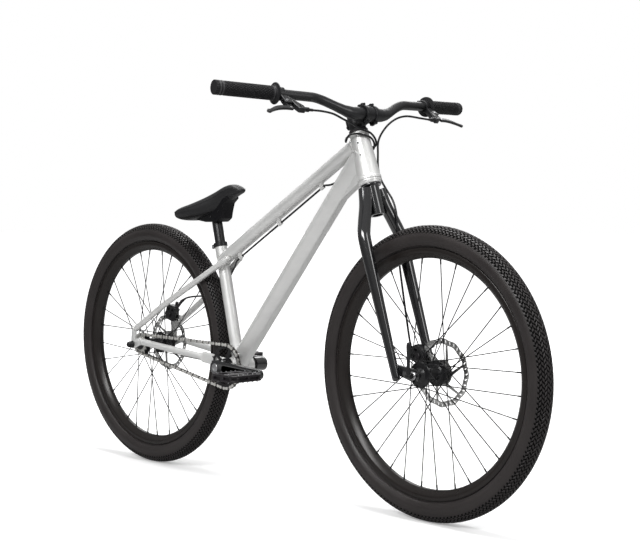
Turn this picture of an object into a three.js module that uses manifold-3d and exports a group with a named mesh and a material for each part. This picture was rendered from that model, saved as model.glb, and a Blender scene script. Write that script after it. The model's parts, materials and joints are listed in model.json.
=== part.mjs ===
// Dirt jump bicycle, in millimetres. +X points forward, +Y to the rider's left, +Z up.
// The origin is on the ground, midway between the two axles, in the bicycle's mid-plane.
import * as THREE from 'three';
import { mergeVertices } from 'three/addons/utils/BufferGeometryUtils.js';
import Module from 'manifold-3d';

const wasm = await Module();
wasm.setup();

// Clearances and cut sizes
const fit = 0.3;
const overrun = 2;
const mergeDistance = 0.0001;
const parallelShare = 0.99;

// Facets round the larger turned pieces, and round the bars and bores inside them
const tubeSides = 20;
const cableSides = 8;

// Wheels
const wheelbase = 1046;
const tyreRadius = 336.5;
const tyreWidth = 57;
const tyreCasing = 3.6;
const tyreBead = 4.5;
const tyreLip = 1;
const tyreWallAngle = THREE.MathUtils.degToRad(-42);
const tyreHeight = 50.5;
const rimOuterRadius = tyreRadius - tyreHeight;
const rimFlangeHeight = 6.5;
const rimSeatRadius = rimOuterRadius - rimFlangeHeight;
const rimBedDepth = 17.5;
const rimInnerRadius = rimSeatRadius - rimBedDepth;
const rimWidth = 33;
const rimWall = 2.4;
const rimShoulderDepth = 5;
const rimSpokeBedWidth = 12;
const spokeRadius = 1.1;
const spokesPerSide = 16;
const spokeCrossings = 3;
const frontSpokePhases = [5.5, 16.75];
const rearSpokePhases = [3.5, 14.75];
const flangeRadius = 30;
const flangeThickness = 3.5;
const flangeHoleInset = 3;
const frontFlangeRight = 34;
const frontFlangeLeft = 21;
const rearFlangeRight = 34;
const rearFlangeLeft = 22;
const hubShellRadius = 15;
const rotorRadius = 80;
const rotorBandWidth = 15;
const rotorThickness = 2;
const rotorArms = 6;
const rotorArmWidth = 9;
const rotorSeatRadius = 21;
const rotorMountRadius = 27;
const rotorMountStep = 3;
const rotorRingLip = 1;
const hubEndLip = 2;
const driverRadius = 17;
const driverEnd = 52;

// Frame
const bracketAheadOfTyre = 39.1;
const chainstayLength = tyreRadius + bracketAheadOfTyre;
const bottomBracketDrop = 34.5;
const seatAngle = THREE.MathUtils.degToRad(76.3);
const headAngle = THREE.MathUtils.degToRad(71.8);
const headTubeLength = 116;
const headTubeBottomRadius = 27.5;
const headTubeTopRadius = 22.5;
const headTubeBore = 18;
const headTubeCollar = 1.2;
const headTubeCollarHeight = 6;
const topTubeRadius = 17.5;
const topTubeBelowRim = 20.3;
const topTubeBelowSeatRim = 48.2;
const downTubeRadius = 24;
const downTubeFlatWidth = 20;
const downTubeBelowRim = 49;
const downTubeAboveBracket = 5.5;
const gussetWidth = 22;
const gussetRun = 128;
const seatTubeRadius = 15.9;
const seatTubeBore = 14;
const seatTubeLength = 330;
const seatSlotWidth = 3;
const seatSlotLength = 40;
const shellRadius = 21.5;
const shellBore = 18.2;
const shellWidth = 73;
const chainstayRadius = 9;
const seatstayRadius = 8;
const yokeThickness = 9;
const yokeHeight = 28;
const rearAxleWidth = 135;
const dropoutThickness = 7;
const rearDropoutRadius = 12;
const dropoutLip = 2;
const stayEndAhead = 28;
const stayEndHeight = 9;
const stayEndSide = 68;
const yokeReach = 101;
const yokeSide = 47.5;
const yokeRise = 19;
const yokeTyreGap = 5.5;
const yokeFootInset = 16;
const yokeFlare = 4;
const seatstayFootAhead = 4;
const seatstayFootUp = 42;
const seatstayFootSide = 68.5;
const seatstayEndAhead = 43.3;
const seatstayEndDrop = 16.4;
const seatstayEndSide = 19;
const braceRadius = 5;
const braceAhead = 75;
const braceSide = 63;
const caliperPlateThickness = 6;
const caliperPlateAhead = 21;
const caliperPlateFoot = 46;
const caliperPlateTop = 78;
const caliperPlateWidth = 54;
const caliperPlateSide = 60;

// Cable guides under the top tube
const cableRadius = 2.5;
const cableDrop = 27;
const guideLength = 13;
const guideWidth = 10;
// Places of the guides as shares of the way along the top tube from its rear end
const guideShares = [0.7444, 0.4434, 0.1455];

// Seat post, clamp and saddle
const seatpostRadius = 13.6;
const seatpostInsertion = 145;
const seatConeRun = 14;
const seatHeadRadius = 11;
const seatHeadWidth = 30;
const seatHeadRise = 72;
const clampRadius = 18.2;
const clampHeight = 11;
const clampEarLength = 11;
const clampEarWidth = 16;
const saddleLength = 249;
const saddleWidth = 122;
const saddleHeight = 52;
const saddleTilt = THREE.MathUtils.degToRad(13);
const saddleRear = 125;
const saddleLift = 20;
const keelHalfWidth = 21;
const keelPostSpace = 17;

// Headset, fork and stem, measured along the steering axis from the foot of the rake line
const forkRake = 47.7;
const crownAboveTyre = 131.5;
const crownSeat = tyreRadius + crownAboveTyre;
const cupHeight = 12;
const upperCupHeight = 8;
const cupRadius = 26;
const cupSkirtDepth = 11;
const steererRadius = 14.3;
const steererBore = 12.4;
const crownTubeRadius = 18;
const crownTubeLength = 70;
const crownRaceHeight = 5;
const crownRaceRadius = 24;
const steererBelowStem = 2.3;
const stemHeight = 40;
const stemRadius = 20;
const stemBodyWidth = 34;
const stemBodyHeight = 34;
const barAboveMiddle = 4;
const stemBoltBack = 24;
const stemBoltDepth = 10;
const stemBoltWidth = 24;
const stemBoltHeight = 26;
const stemReach = 40;
const stemClampRadius = 21.5;
const stemClampWidth = 40;
const faceplateGap = 1.2;
const topCapHeight = 4;
const topCapRadius = 17;
const topCapBevel = 2;
const forkLegSpread = 62;
const forkLegTopSpread = 24;
const forkLegTopRadius = 15;
const forkLegFootRadius = 9.5;
const forkSplayDrop = 154;
const forkLegLap = 6;
const forkLegTopDrop = 12;
const frontAxleWidth = 100;
const frontDropoutRadius = 15;
const frontDropoutAhead = 2;
const frontDropoutUp = 26;
const discTabThickness = 6;
const discTabHeight = 71;
const discTabReach = 26;
const discTabRadius = 8.5;

// Handlebar, grips and brake levers
const barHalfWidth = 401;
const barRadius = 11.1;
const barClampRadius = 15.9;
const barClampHalf = 38;
const barTaperEnd = 96;
const barBendEnd = 158;
const barRise = 38.5;
const barBackSweep = THREE.MathUtils.degToRad(9.6);
const barUpSweep = THREE.MathUtils.degToRad(5.3);
const barTwist = 14.4;
const gripOverhang = 6;
const gripLength = 157;
const gripRadius = 15.6;
const gripRibHeight = 1.2;
const gripRibCount = 2;
const gripFlangeRadius = 25;
const gripFlangeThickness = 3;
const gripFlangeRun = 2;
const gripCapThickness = 4.5;
const perchFromGrip = 11;
const perchRingRadius = 15.5;
const perchRingWidth = 13;
const perchThickness = 13;
const perchSlot = 6.8;
const perchSlotBack = 10;
const perchSlotInside = 12;
const perchPivotHalf = 8;
const perchLugHalf = 7;
const perchLugLength = 17;
const perchDrop = THREE.MathUtils.degToRad(52.8);
const leverPivotReach = 37;
const leverAnchorReach = 62;
const leverThickness = 6;
const leverRootRadius = 6.5;
const leverBladeWidth = 11;
const leverBow = 27;
const leverSwell = 3;
const leverHeel = 5;
const leverLength = 66;
const leverTipReach = 84;
const leverPinRadius = 2.4;
const barrelRadius = 5.5;
const barrelEnd = 48;
const barrelStart = 18;

// Brake calipers. The shares are of the rotor's radius: [forward, up] from the axle, or
// [forward, side, up] where there are three.
const caliperLength = 40;
const caliperHeight = 44;
const caliperWidth = 19;
const caliperSlot = 4;
const caliperArmRadius = 7.5;
const caliperArmThickness = 4.5;
const caliperPinRadius = 3.5;
const stopRadius = 4.5;
const rearRotorSide = 52.2;
const rearCaliperReach = 87;
const rearCaliperOuter = 57.6;
const frontRotorSide = 39.7;
const frontCaliperReach = 79;
const frontCaliperOuter = 49;
const rearCaliper = {
  directionShares: [0.24, 0.97],
  reach: rearCaliperReach,
  rotorSide: rearRotorSide,
  outerSide: rearCaliperOuter,
  pivotShares: [0.2625, 1.14375],
  armEndShares: [0.31875, 1.39375],
  stopFromShares: [0.55, 0.7625, 1.4375],
  stopToShares: [0.675, 0.7625, 1.5],
  neckFootShares: [0.45, 0.65, 1.2125],
};
const frontCaliper = {
  directionShares: [-0.7, 0.714],
  reach: frontCaliperReach,
  rotorSide: frontRotorSide,
  outerSide: frontCaliperOuter,
  pivotShares: [-0.9375, 0.6625],
  armEndShares: [-1.1375, 0.7125],
  stopFromShares: [-1.105, 0.645, 0.9125],
  stopToShares: [-1.09, 0.645, 1.05],
  neckFootShares: [-0.8625, 0.54375, 0.825],
};

// Crankset, chain and pedals
const chainPitch = 12.7;
const chainringTeeth = 28;
const cogTeeth = 13;
const chainLine = 46;
const toothThickness = 2.2;
const chainPlateHeight = 8.6;
const chainWidth = 9.4;
const chainPlateThickness = 1.5;
const crankLength = 165;
const crankTurn = THREE.MathUtils.degToRad(1.7);
const crankBossRadius = 19;
const crankEndRadius = 13;
const crankArmThickness = 14.5;
const crankArmInner = 68.5;
const ringBoreRadius = 15;
const ringWindowRadius = 9;
const ringWindows = 5;
const spindleRadius = 8.5;
const spindleHalf = 72;
const bracketCupRadius = 22;
const bracketCupFlange = 4;
const bracketCupDepth = 18;
const pedalCentre = 146;
const pedalWidth = 98;
const pedalLength = 96;
const pedalHeight = 20;
const pedalRail = 13;
const pedalAxleTube = 9.5;
const pedalAxleRadius = 5;
const pedalThreadRadius = 7;
const pedalFlatsRadius = 8.5;

// Axle hardware
const rearAxleRadius = 5;
const rearNutRadius = 9.8;
const rearNutLength = 18;
const rearNutDome = 3;
const coneRadius = 8.5;
const coneLength = 7;
const skewerRadius = 4.5;
const skewerNutRadius = 9;
const skewerNutLength = 9;
const skewerHeadRadius = 10;
const skewerHeadLength = 6.5;
const quickLeverLength = 70;
const quickLeverWidth = 12;
const quickLeverThickness = 5;
const quickBarrelRadius = 6.2;
const quickBarrelLength = 15;

const X = new THREE.Vector3(1, 0, 0);
const Y = new THREE.Vector3(0, 1, 0);
const Z = new THREE.Vector3(0, 0, 1);

function at(x, y, z) {
  return new THREE.Vector3(x, y, z);
}

// The main points and directions of the frame

const rearAxle = at(-wheelbase / 2, 0, tyreRadius);
const frontAxle = at(wheelbase / 2, 0, tyreRadius);
const stayReach = Math.sqrt(chainstayLength ** 2 - bottomBracketDrop ** 2);
const bracket = at(rearAxle.x + stayReach, 0, tyreRadius - bottomBracketDrop);
const steerLean = Math.PI / 2 - headAngle;
const steerUp = at(-Math.sin(steerLean), 0, Math.cos(steerLean));
const steerForward = at(Math.cos(steerLean), 0, Math.sin(steerLean));
const steerFoot = frontAxle.clone().addScaledVector(steerForward, -forkRake);
const headBottom = crownSeat + cupHeight;
const headTop = headBottom + headTubeLength;
const stemFoot = headTop + upperCupHeight + fit;
const barHeight = stemFoot + stemHeight / 2 + barAboveMiddle;
const crownTubeFoot = crownSeat - crownRaceHeight - crownTubeLength;
const forkLegTop = crownSeat - forkLegTopDrop;
const forkSplayFoot = crownSeat - forkSplayDrop;
const steererTop = stemFoot + stemHeight - steererBelowStem;
const gripStart = barHalfWidth + gripOverhang - gripLength;
const perchAlong = gripStart - perchFromGrip;
const seatpostFoot = seatTubeLength - seatpostInsertion;
const seatHeadAlong = seatTubeLength + seatHeadRise;
const seatUp = at(-Math.cos(seatAngle), 0, Math.sin(seatAngle));

function onSteer(forward, side, up) {
  const point = steerFoot.clone().addScaledVector(steerForward, forward);
  return point.addScaledVector(Y, side).addScaledVector(steerUp, up);
}

function onSeat(along) {
  return bracket.clone().addScaledVector(seatUp, along);
}

const steerMatrix = new THREE.Matrix4().makeBasis(steerForward, Y, steerUp).setPosition(steerFoot);
const topTubeRear = onSeat(seatTubeLength - topTubeBelowSeatRim);
const topTubeFront = onSteer(0, 0, headTop - topTubeBelowRim);
const topTubeAlong = topTubeFront.clone().sub(topTubeRear).normalize();
const topTubeDown = at(topTubeAlong.z, 0, -topTubeAlong.x);
const guidePlaces = guideShares.map((share) => topTubeRear.x + share * (topTubeFront.x - topTubeRear.x));
const downTubeFront = onSteer(0, 0, headTop - downTubeBelowRim);
const downTubeFirst = downTubeFront.clone().sub(bracket).normalize();
const downTubeRear = bracket.clone().add(
  at(-downTubeFirst.z, 0, downTubeFirst.x).multiplyScalar(downTubeAboveBracket));
const downTubeAlong = downTubeFront.clone().sub(downTubeRear).normalize();
const downTubeUp = at(-downTubeAlong.z, 0, downTubeAlong.x);

// Building blocks: each returns a closed solid

function signedVolume(points, faces) {
  const a = new THREE.Vector3();
  const b = new THREE.Vector3();
  const c = new THREE.Vector3();
  let total = 0;
  for (let i = 0; i < faces.length; i += 3) {
    a.fromArray(points, faces[i] * 3);
    b.fromArray(points, faces[i + 1] * 3);
    c.fromArray(points, faces[i + 2] * 3);
    total += a.dot(b.cross(c));
  }
  return total;
}

function solid(geometry, matrix) {
  const bare = geometry.clone();
  bare.deleteAttribute('normal');
  bare.deleteAttribute('uv');
  if (matrix) bare.applyMatrix4(matrix);
  const merged = mergeVertices(bare, mergeDistance);
  const vertProperties = Float32Array.from(merged.attributes.position.array);
  const triVerts = Uint32Array.from(merged.index.array);
  if (signedVolume(vertProperties, triVerts) < 0) {
    for (let i = 0; i < triVerts.length; i += 3) {
      [triVerts[i], triVerts[i + 1]] = [triVerts[i + 1], triVerts[i]];
    }
  }
  return new wasm.Manifold(new wasm.Mesh({ numProp: 3, vertProperties, triVerts }));
}

function join(...solids) {
  return solids.flat().reduce((whole, piece) => whole.add(piece));
}

function cut(body, ...tools) {
  return tools.flat().reduce((rest, tool) => rest.subtract(tool), body);
}

function basisAlong(from, along, sideHint = Y) {
  const z = along.clone().normalize();
  const hint = Math.abs(z.dot(sideHint)) > parallelShare ? X : sideHint;
  const x = hint.clone().addScaledVector(z, -hint.dot(z)).normalize();
  const y = z.clone().cross(x);
  return new THREE.Matrix4().makeBasis(x, y, z).setPosition(from);
}

function loft(rings) {
  const points = rings.flat();
  const count = rings[0].length;
  const faces = [];
  for (let r = 0; r + 1 < rings.length; r += 1) {
    for (let i = 0; i < count; i += 1) {
      const a = r * count + i;
      const b = r * count + ((i + 1) % count);
      faces.push(a, b, a + count, b, b + count, a + count);
    }
  }
  const last = (rings.length - 1) * count;
  for (let i = 1; i + 1 < count; i += 1) {
    faces.push(0, i + 1, i, last, last + i, last + i + 1);
  }
  const geometry = new THREE.BufferGeometry().setFromPoints(points);
  geometry.setIndex(faces);
  return solid(geometry);
}

function ringPoints(radius, sides, basis) {
  return Array.from({ length: sides }, (unused, i) => {
    const angle = (2 * Math.PI * i) / sides;
    return at(radius * Math.cos(angle), radius * Math.sin(angle), 0).applyMatrix4(basis);
  });
}

function rod(from, to, radius, endRadius = radius, sides = 12) {
  const basis = basisAlong(from, to.clone().sub(from));
  const first = ringPoints(radius, sides, basis);
  return loft([first, ringPoints(endRadius, sides, basis.setPosition(to))]);
}

function ball(centre, radius, sides = 12) {
  const sphere = new THREE.SphereGeometry(radius, sides, sides / 2);
  return solid(sphere.rotateX(Math.PI / 2).translate(centre.x, centre.y, centre.z));
}

function block(centre, sizeX, sizeY, sizeZ) {
  const box = new THREE.BoxGeometry(sizeX, sizeY, sizeZ);
  return solid(box.translate(centre.x, centre.y, centre.z));
}

// Turns a profile of [radius, height] pairs about the line through centre along axis
function turned(profile, sides, centre, axis) {
  const points = profile.map(([r, h]) => new THREE.Vector2(r, h));
  const lathe = new THREE.LatheGeometry(points, sides).rotateX(Math.PI / 2);
  return solid(lathe, basisAlong(centre, axis));
}

function ringProfile(inner, outer, low, high) {
  return [[inner, low], [outer, low], [outer, high], [inner, high], [inner, low]];
}

// A flat plate parallel to the mid-plane, from an outline in X and Z
function sidePlate(shape, low, high, arcSteps = 4) {
  const options = { depth: high - low, bevelEnabled: false, curveSegments: arcSteps };
  const plate = new THREE.ExtrudeGeometry(shape, options);
  return solid(plate.rotateX(Math.PI / 2).translate(0, high, 0));
}

// A flat plate seen from above, from an outline in X and Y
function floorPlate(shape, low, high) {
  const plate = new THREE.ExtrudeGeometry(shape, { depth: high - low, bevelEnabled: false });
  return solid(plate.translate(0, 0, low));
}

function outline(points) {
  return new THREE.Shape(points.map(([x, y]) => new THREE.Vector2(x, y)));
}

// The outline around two circles and their outer tangents
function linkShape(x1, y1, r1, x2, y2, r2) {
  const direction = Math.atan2(y2 - y1, x2 - x1);
  const spread = Math.acos((r1 - r2) / Math.hypot(x2 - x1, y2 - y1));
  const shape = new THREE.Shape();
  shape.absarc(x2, y2, r2, direction - spread, direction + spread, false);
  shape.absarc(x1, y1, r1, direction + spread, direction - spread + 2 * Math.PI, false);
  return shape;
}

function roundShape(radius, sides) {
  const points = [];
  for (let i = 0; i < sides; i += 1) {
    const angle = (2 * Math.PI * i) / sides;
    points.push([radius * Math.cos(angle), radius * Math.sin(angle)]);
  }
  return outline(points);
}

function sweep(points, radius, sides, steps) {
  const path = new THREE.CatmullRomCurve3(points, false, 'centripetal');
  const options = { steps, bevelEnabled: false, extrudePath: path };
  return solid(new THREE.ExtrudeGeometry(roundShape(radius, sides), options));
}

function mirrored(point, side) {
  return at(point.x, point.y * side, point.z);
}

// Frame tubes, in the bicycle's own frame

// The outside of the head tube as [radius, height] pairs, enlarged by extra
function headTubeSide(extra) {
  const collarLow = headBottom + headTubeCollarHeight + extra;
  const collarHigh = headTop - headTubeCollarHeight - extra;
  return [
    [headTubeBottomRadius + headTubeCollar + extra, headBottom - extra],
    [headTubeBottomRadius + headTubeCollar + extra, collarLow],
    [headTubeBottomRadius + extra, collarLow],
    [headTubeTopRadius + extra, collarHigh],
    [headTubeTopRadius + headTubeCollar + extra, collarHigh],
    [headTubeTopRadius + headTubeCollar + extra, headTop + extra],
  ];
}

function headTube() {
  const side = headTubeSide(0);
  const profile = [[headTubeBore, headBottom], ...side, [headTubeBore, headTop], [headTubeBore, headBottom]];
  return turned(profile, tubeSides, at(0, 0, 0), Z);
}

// The space that the other tubes leave for the head tube
function headTubeSpace() {
  const profile = [[0, headBottom - fit], ...headTubeSide(fit), [0, headTop + fit]];
  return turned(profile, tubeSides, at(0, 0, 0), Z).transform(steerMatrix.elements);
}

function upperCup() {
  const skirt = headTop - cupSkirtDepth;
  const bore = steererRadius + fit;
  return turned([
    [bore, skirt],
    [headTubeBore - fit, skirt],
    [headTubeBore - fit, headTop + fit],
    [headTubeTopRadius + headTubeCollar, headTop + fit],
    [headTubeTopRadius, headTop + upperCupHeight],
    [bore, headTop + upperCupHeight],
    [bore, skirt],
  ], tubeSides, at(0, 0, 0), Z);
}

function lowerCup() {
  const skirt = headBottom + cupSkirtDepth;
  const bore = steererRadius + fit;
  return turned([
    [bore, crownSeat + fit],
    [cupRadius, crownSeat + fit],
    [cupRadius + headTubeCollar, headBottom - fit],
    [headTubeBore - fit, headBottom - fit],
    [headTubeBore - fit, skirt],
    [bore, skirt],
    [bore, crownSeat + fit],
  ], tubeSides, at(0, 0, 0), Z);
}

function seatTubeOuter(extra) {
  return rod(bracket, onSeat(seatTubeLength + overrun), seatTubeRadius + extra, undefined, tubeSides);
}

function shellOuter(extra) {
  const half = shellWidth / 2 + extra;
  return rod(at(bracket.x, -half, bracket.z), at(bracket.x, half, bracket.z), shellRadius + extra,
    undefined, tubeSides);
}

function topTubeOuter(extra) {
  return rod(topTubeRear, topTubeFront, topTubeRadius + extra, undefined, tubeSides);
}

// The point on the cable line under the top tube, above the given forward place
function underTopTube(x) {
  const start = topTubeRear.clone().addScaledVector(topTubeDown, cableDrop);
  return start.addScaledVector(topTubeAlong, (x - start.x) / topTubeAlong.x);
}

function cableGuide(x) {
  const centre = underTopTube(x);
  const height = cableDrop - topTubeRadius + 2 * cableRadius + overrun;
  const middle = centre.clone().addScaledVector(topTubeDown, 2 * cableRadius - height / 2);
  const box = new THREE.BoxGeometry(guideWidth, height, guideLength);
  const lug = solid(box, basisAlong(middle, topTubeAlong));
  const reach = guideLength / 2 + overrun;
  const low = centre.clone().addScaledVector(topTubeAlong, -reach);
  const high = centre.clone().addScaledVector(topTubeAlong, reach);
  return cut(lug, rod(low, high, cableRadius + fit, undefined, 8));
}

function topTube() {
  const tube = topTubeOuter(0);
  const guides = guidePlaces.map(cableGuide);
  return cut(join(tube, guides), seatTubeOuter(fit), headTubeSpace());
}

function downTubeSection() {
  const shape = new THREE.Shape();
  shape.moveTo(-downTubeRadius, 0);
  shape.lineTo(-downTubeFlatWidth / 2, -downTubeRadius);
  shape.lineTo(downTubeFlatWidth / 2, -downTubeRadius);
  shape.lineTo(downTubeRadius, 0);
  shape.absarc(0, 0, downTubeRadius, 0, Math.PI, false);
  return shape;
}

// The web under the down tube, running forward to the foot of the head tube
function gusset() {
  const inside = downTubeRadius - overrun;
  const heel = downTubeFront.clone().addScaledVector(downTubeUp, -inside)
    .addScaledVector(downTubeAlong, -gussetRun);
  const toe = onSteer(-headTubeTopRadius, 0, headBottom + overrun);
  const shape = outline([[heel.x, heel.z], [toe.x, toe.z], [downTubeFront.x, downTubeFront.z]]);
  return sidePlate(shape, -gussetWidth / 2, gussetWidth / 2);
}

function downTube() {
  const length = downTubeRear.distanceTo(downTubeFront);
  const options = { depth: length, bevelEnabled: false, curveSegments: 6 };
  const bar = new THREE.ExtrudeGeometry(downTubeSection(), options);
  const basis = new THREE.Matrix4().makeBasis(Y, downTubeUp, Y.clone().cross(downTubeUp));
  const forward = Y.clone().cross(downTubeUp).dot(downTubeAlong) > 0;
  const start = forward ? downTubeRear : downTubeFront;
  const tube = solid(bar, basis.setPosition(start));
  return cut(join(tube, gusset()), shellOuter(fit), seatTubeOuter(fit), headTubeSpace(),
    topTubeOuter(fit));
}

function seatTube() {
  const tube = seatTubeOuter(0);
  const bore = rod(bracket, onSeat(seatTubeLength + 2 * overrun), seatTubeBore, undefined, tubeSides);
  const end = onSeat(seatTubeLength + clampHeight);
  const topCut = rod(onSeat(seatTubeLength), end, clampRadius, undefined, tubeSides);
  const slotBox = new THREE.BoxGeometry(seatSlotWidth, clampRadius, seatSlotLength);
  const slotCentre = onSeat(seatTubeLength - seatSlotLength / 2 + overrun)
    .addScaledVector(at(-seatUp.z, 0, seatUp.x), clampRadius / 2);
  const slot = solid(slotBox, basisAlong(slotCentre, seatUp));
  return cut(tube, bore, topCut, shellOuter(fit), slot);
}

function bracketShell() {
  return turned(ringProfile(shellBore, shellRadius, -shellWidth / 2, shellWidth / 2), tubeSides, bracket, Y);
}

// Stays: right and left sides are mirrored, side is -1 or +1

const dropoutFace = rearAxleWidth / 2;
const yokeStart = at(bracket.x - yokeReach, yokeSide, bracket.z + yokeRise);

function chainstayEnd() {
  return at(rearAxle.x + stayEndAhead, stayEndSide, rearAxle.z + stayEndHeight);
}

function rearDropoutSlot(side, margin) {
  const y = side * (dropoutFace + dropoutThickness / 2);
  const reach = dropoutThickness + overrun;
  const radius = rearAxleRadius + margin;
  const hole = rod(at(rearAxle.x, y - reach, rearAxle.z), at(rearAxle.x, y + reach, rearAxle.z), radius);
  const run = 2 * rearDropoutRadius;
  return join(hole, block(at(rearAxle.x - run / 2, y, rearAxle.z), run, 2 * reach, 2 * radius));
}

// Places along a seatstay, from the dropout to the top tube: [way along, share of the spread kept]
const seatstayShares = [[0, 1], [0.16, 0.93], [0.384, 0.84], [0.628, 0.525], [0.871, 0.222], [1, 0]];
const seatstayFoot = at(rearAxle.x + seatstayFootAhead, seatstayFootSide, rearAxle.z + seatstayFootUp);
const seatstayEnd = topTubeRear.clone().addScaledVector(topTubeAlong, seatstayEndAhead)
  .addScaledVector(topTubeDown, seatstayEndDrop).addScaledVector(Y, seatstayEndSide);
const seatstayPlaces = seatstayShares.map(([way, spread]) => {
  const place = seatstayFoot.clone().lerp(seatstayEnd, way);
  place.y = seatstayEndSide + spread * (seatstayFootSide - seatstayEndSide);
  return place;
});

function rearDropout(side, extra) {
  const low = dropoutFace + fit - extra;
  const high = dropoutFace + dropoutThickness + extra;
  const stay = chainstayEnd();
  const up = seatstayPlaces[0];
  const forward = linkShape(rearAxle.x, rearAxle.z, rearDropoutRadius + extra,
    stay.x, stay.z, chainstayRadius + dropoutLip + extra);
  const upward = linkShape(rearAxle.x, rearAxle.z, rearDropoutRadius - dropoutLip + extra,
    up.x, up.z, seatstayRadius + extra);
  const span = side > 0 ? [low, high] : [-high, -low];
  return join(sidePlate(forward, ...span), sidePlate(upward, ...span));
}

// Places along the yoke as shares of its reach, from the end of the round tube
const yokeStationShares = [-0.14, 0.16, 0.495, 0.77];

function yoke(side) {
  const start = yokeStart;
  const width = yokeThickness / 2;
  const half = shellWidth / 2;
  const tyreSide = tyreWidth / 2 + yokeTyreGap;
  const [back, first, second, third] = yokeStationShares.map((share) => start.x + share * yokeReach);
  const foot = half - yokeFootInset;
  const inner = [[back, start.y - width + yokeFlare / 2], [first, tyreSide + yokeFlare / 2],
    [second, tyreSide - yokeFlare / 4], [bracket.x - shellRadius, foot], [bracket.x, foot]];
  const outer = [[bracket.x, half - yokeFlare / 2], [third, half - yokeFlare / 4],
    [second, tyreSide + width + 0.75 * yokeFlare], [first, start.y - yokeFlare / 4],
    [back, start.y + width + yokeFlare]];
  const points = [...inner, ...outer].map(([x, y]) => [x, y * side]);
  const plate = floorPlate(outline(points), -yokeHeight / 2, yokeHeight / 2);
  const slope = Math.atan2(start.z - bracket.z, bracket.x - start.x);
  const matrix = new THREE.Matrix4().makeTranslation(bracket.x, 0, bracket.z)
    .multiply(new THREE.Matrix4().makeRotationY(slope))
    .multiply(new THREE.Matrix4().makeTranslation(-bracket.x, 0, 0));
  return plate.transform(matrix.elements);
}

function chainstay(side) {
  const from = mirrored(chainstayEnd(), side);
  const to = mirrored(yokeStart, side);
  const tube = join(rod(from, to, chainstayRadius, undefined, 14), ball(to, chainstayRadius, 14));
  const body = join(tube, yoke(side), rearDropout(side, 0));
  return cut(body, rearDropoutSlot(side, fit), shellOuter(fit), seatTubeOuter(fit), downTubeKeepOut());
}

function downTubeKeepOut() {
  return rod(downTubeRear, downTubeFront, downTubeRadius + fit, undefined, tubeSides);
}

// The upright between the left stays ends on the line of the seatstay
function seatstayBrace() {
  const foot = at(rearAxle.x + braceAhead, braceSide, rearAxle.z);
  const way = (foot.x - seatstayFoot.x) / (seatstayEnd.x - seatstayFoot.x);
  const top = at(foot.x, braceSide, seatstayFoot.clone().lerp(seatstayEnd, way).z);
  return rod(foot, top, braceRadius, undefined, 10);
}

// The brake plate's corners as shares of its width and of the way from its foot to its top
const caliperPlateShares = [[-0.48, 0], [0.52, 0.5], [0.41, 1], [-0.41, 1]];

function caliperPlate() {
  const x = rearAxle.x + caliperPlateAhead;
  const z = rearAxle.z + caliperPlateFoot;
  const rise = caliperPlateTop - caliperPlateFoot;
  const points = caliperPlateShares.map(([across, up]) => [x + across * caliperPlateWidth, z + up * rise]);
  return sidePlate(outline(points), caliperPlateSide, caliperPlateSide + caliperPlateThickness);
}

function seatstay(side) {
  const points = seatstayPlaces.map((place) => mirrored(place, side));
  const tube = sweep(points, seatstayRadius, 12, 12);
  const extras = side > 0 ? [seatstayBrace(), caliperPlate()] : [];
  const stay = rod(mirrored(chainstayEnd(), side), mirrored(yokeStart, side), chainstayRadius + fit,
    undefined, 14);
  return cut(join(tube, extras), rearDropout(side, fit), topTubeOuter(fit), seatTubeOuter(fit), stay);
}

function seatClamp() {
  const low = seatTubeLength - clampHeight;
  const ring = rod(onSeat(low), onSeat(low + clampHeight + fit), clampRadius, undefined, tubeSides);
  const ear = new THREE.BoxGeometry(clampEarWidth, 2 * clampEarLength, clampHeight - overrun);
  const back = at(-seatUp.z, 0, seatUp.x);
  const centre = onSeat(low + clampHeight / 2).addScaledVector(back, clampRadius);
  const ears = solid(ear, basisAlong(centre, seatUp));
  const slotBox = new THREE.BoxGeometry(seatSlotWidth, 2 * clampRadius, clampHeight + 2 * overrun);
  const slotCentre = onSeat(low + clampHeight / 2).addScaledVector(back, 1.5 * clampRadius);
  const slot = solid(slotBox, basisAlong(slotCentre, seatUp));
  const tubeSpace = rod(onSeat(low - overrun), onSeat(low + clampHeight + overrun),
    seatTubeRadius + fit, undefined, tubeSides);
  return cut(join(ring, ears), tubeSpace, slot);
}

// Bottom bracket, axle hardware

function bracketCup(side) {
  const flange = shellWidth / 2 + fit;
  const bore = spindleRadius + fit;
  return turned([
    [bore, flange - bracketCupDepth],
    [shellBore - fit, flange - bracketCupDepth],
    [shellBore - fit, flange],
    [bracketCupRadius, flange],
    [bracketCupRadius, flange + bracketCupFlange],
    [bore, flange + bracketCupFlange],
    [bore, flange - bracketCupDepth],
  ], tubeSides, bracket, at(0, side, 0));
}

function rearAxleSet() {
  const x = rearAxle.x;
  const z = rearAxle.z;
  const outside = dropoutFace + dropoutThickness + fit;
  const shaft = rod(at(x, -outside - fit, z), at(x, outside + fit, z), rearAxleRadius);
  const nutProfile = [[0, outside], [rearNutRadius, outside],
    [rearNutRadius, outside + rearNutLength - rearNutDome],
    [rearNutRadius - rearNutDome, outside + rearNutLength], [0, outside + rearNutLength]];
  const nuts = [-1, 1].map((side) => turned(nutProfile, 12, at(x, 0, z), at(0, side, 0)));
  const cones = [-1, 1].map((side) => rod(at(x, side * (dropoutFace - coneLength), z),
    at(x, side * dropoutFace, z), coneRadius));
  return join(shaft, nuts, cones);
}

// Brake calipers, built about the axle, with the mouth of the rotor slot towards the axle

function onRotor(shares) {
  return shares.map((share) => share * rotorRadius);
}

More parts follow.
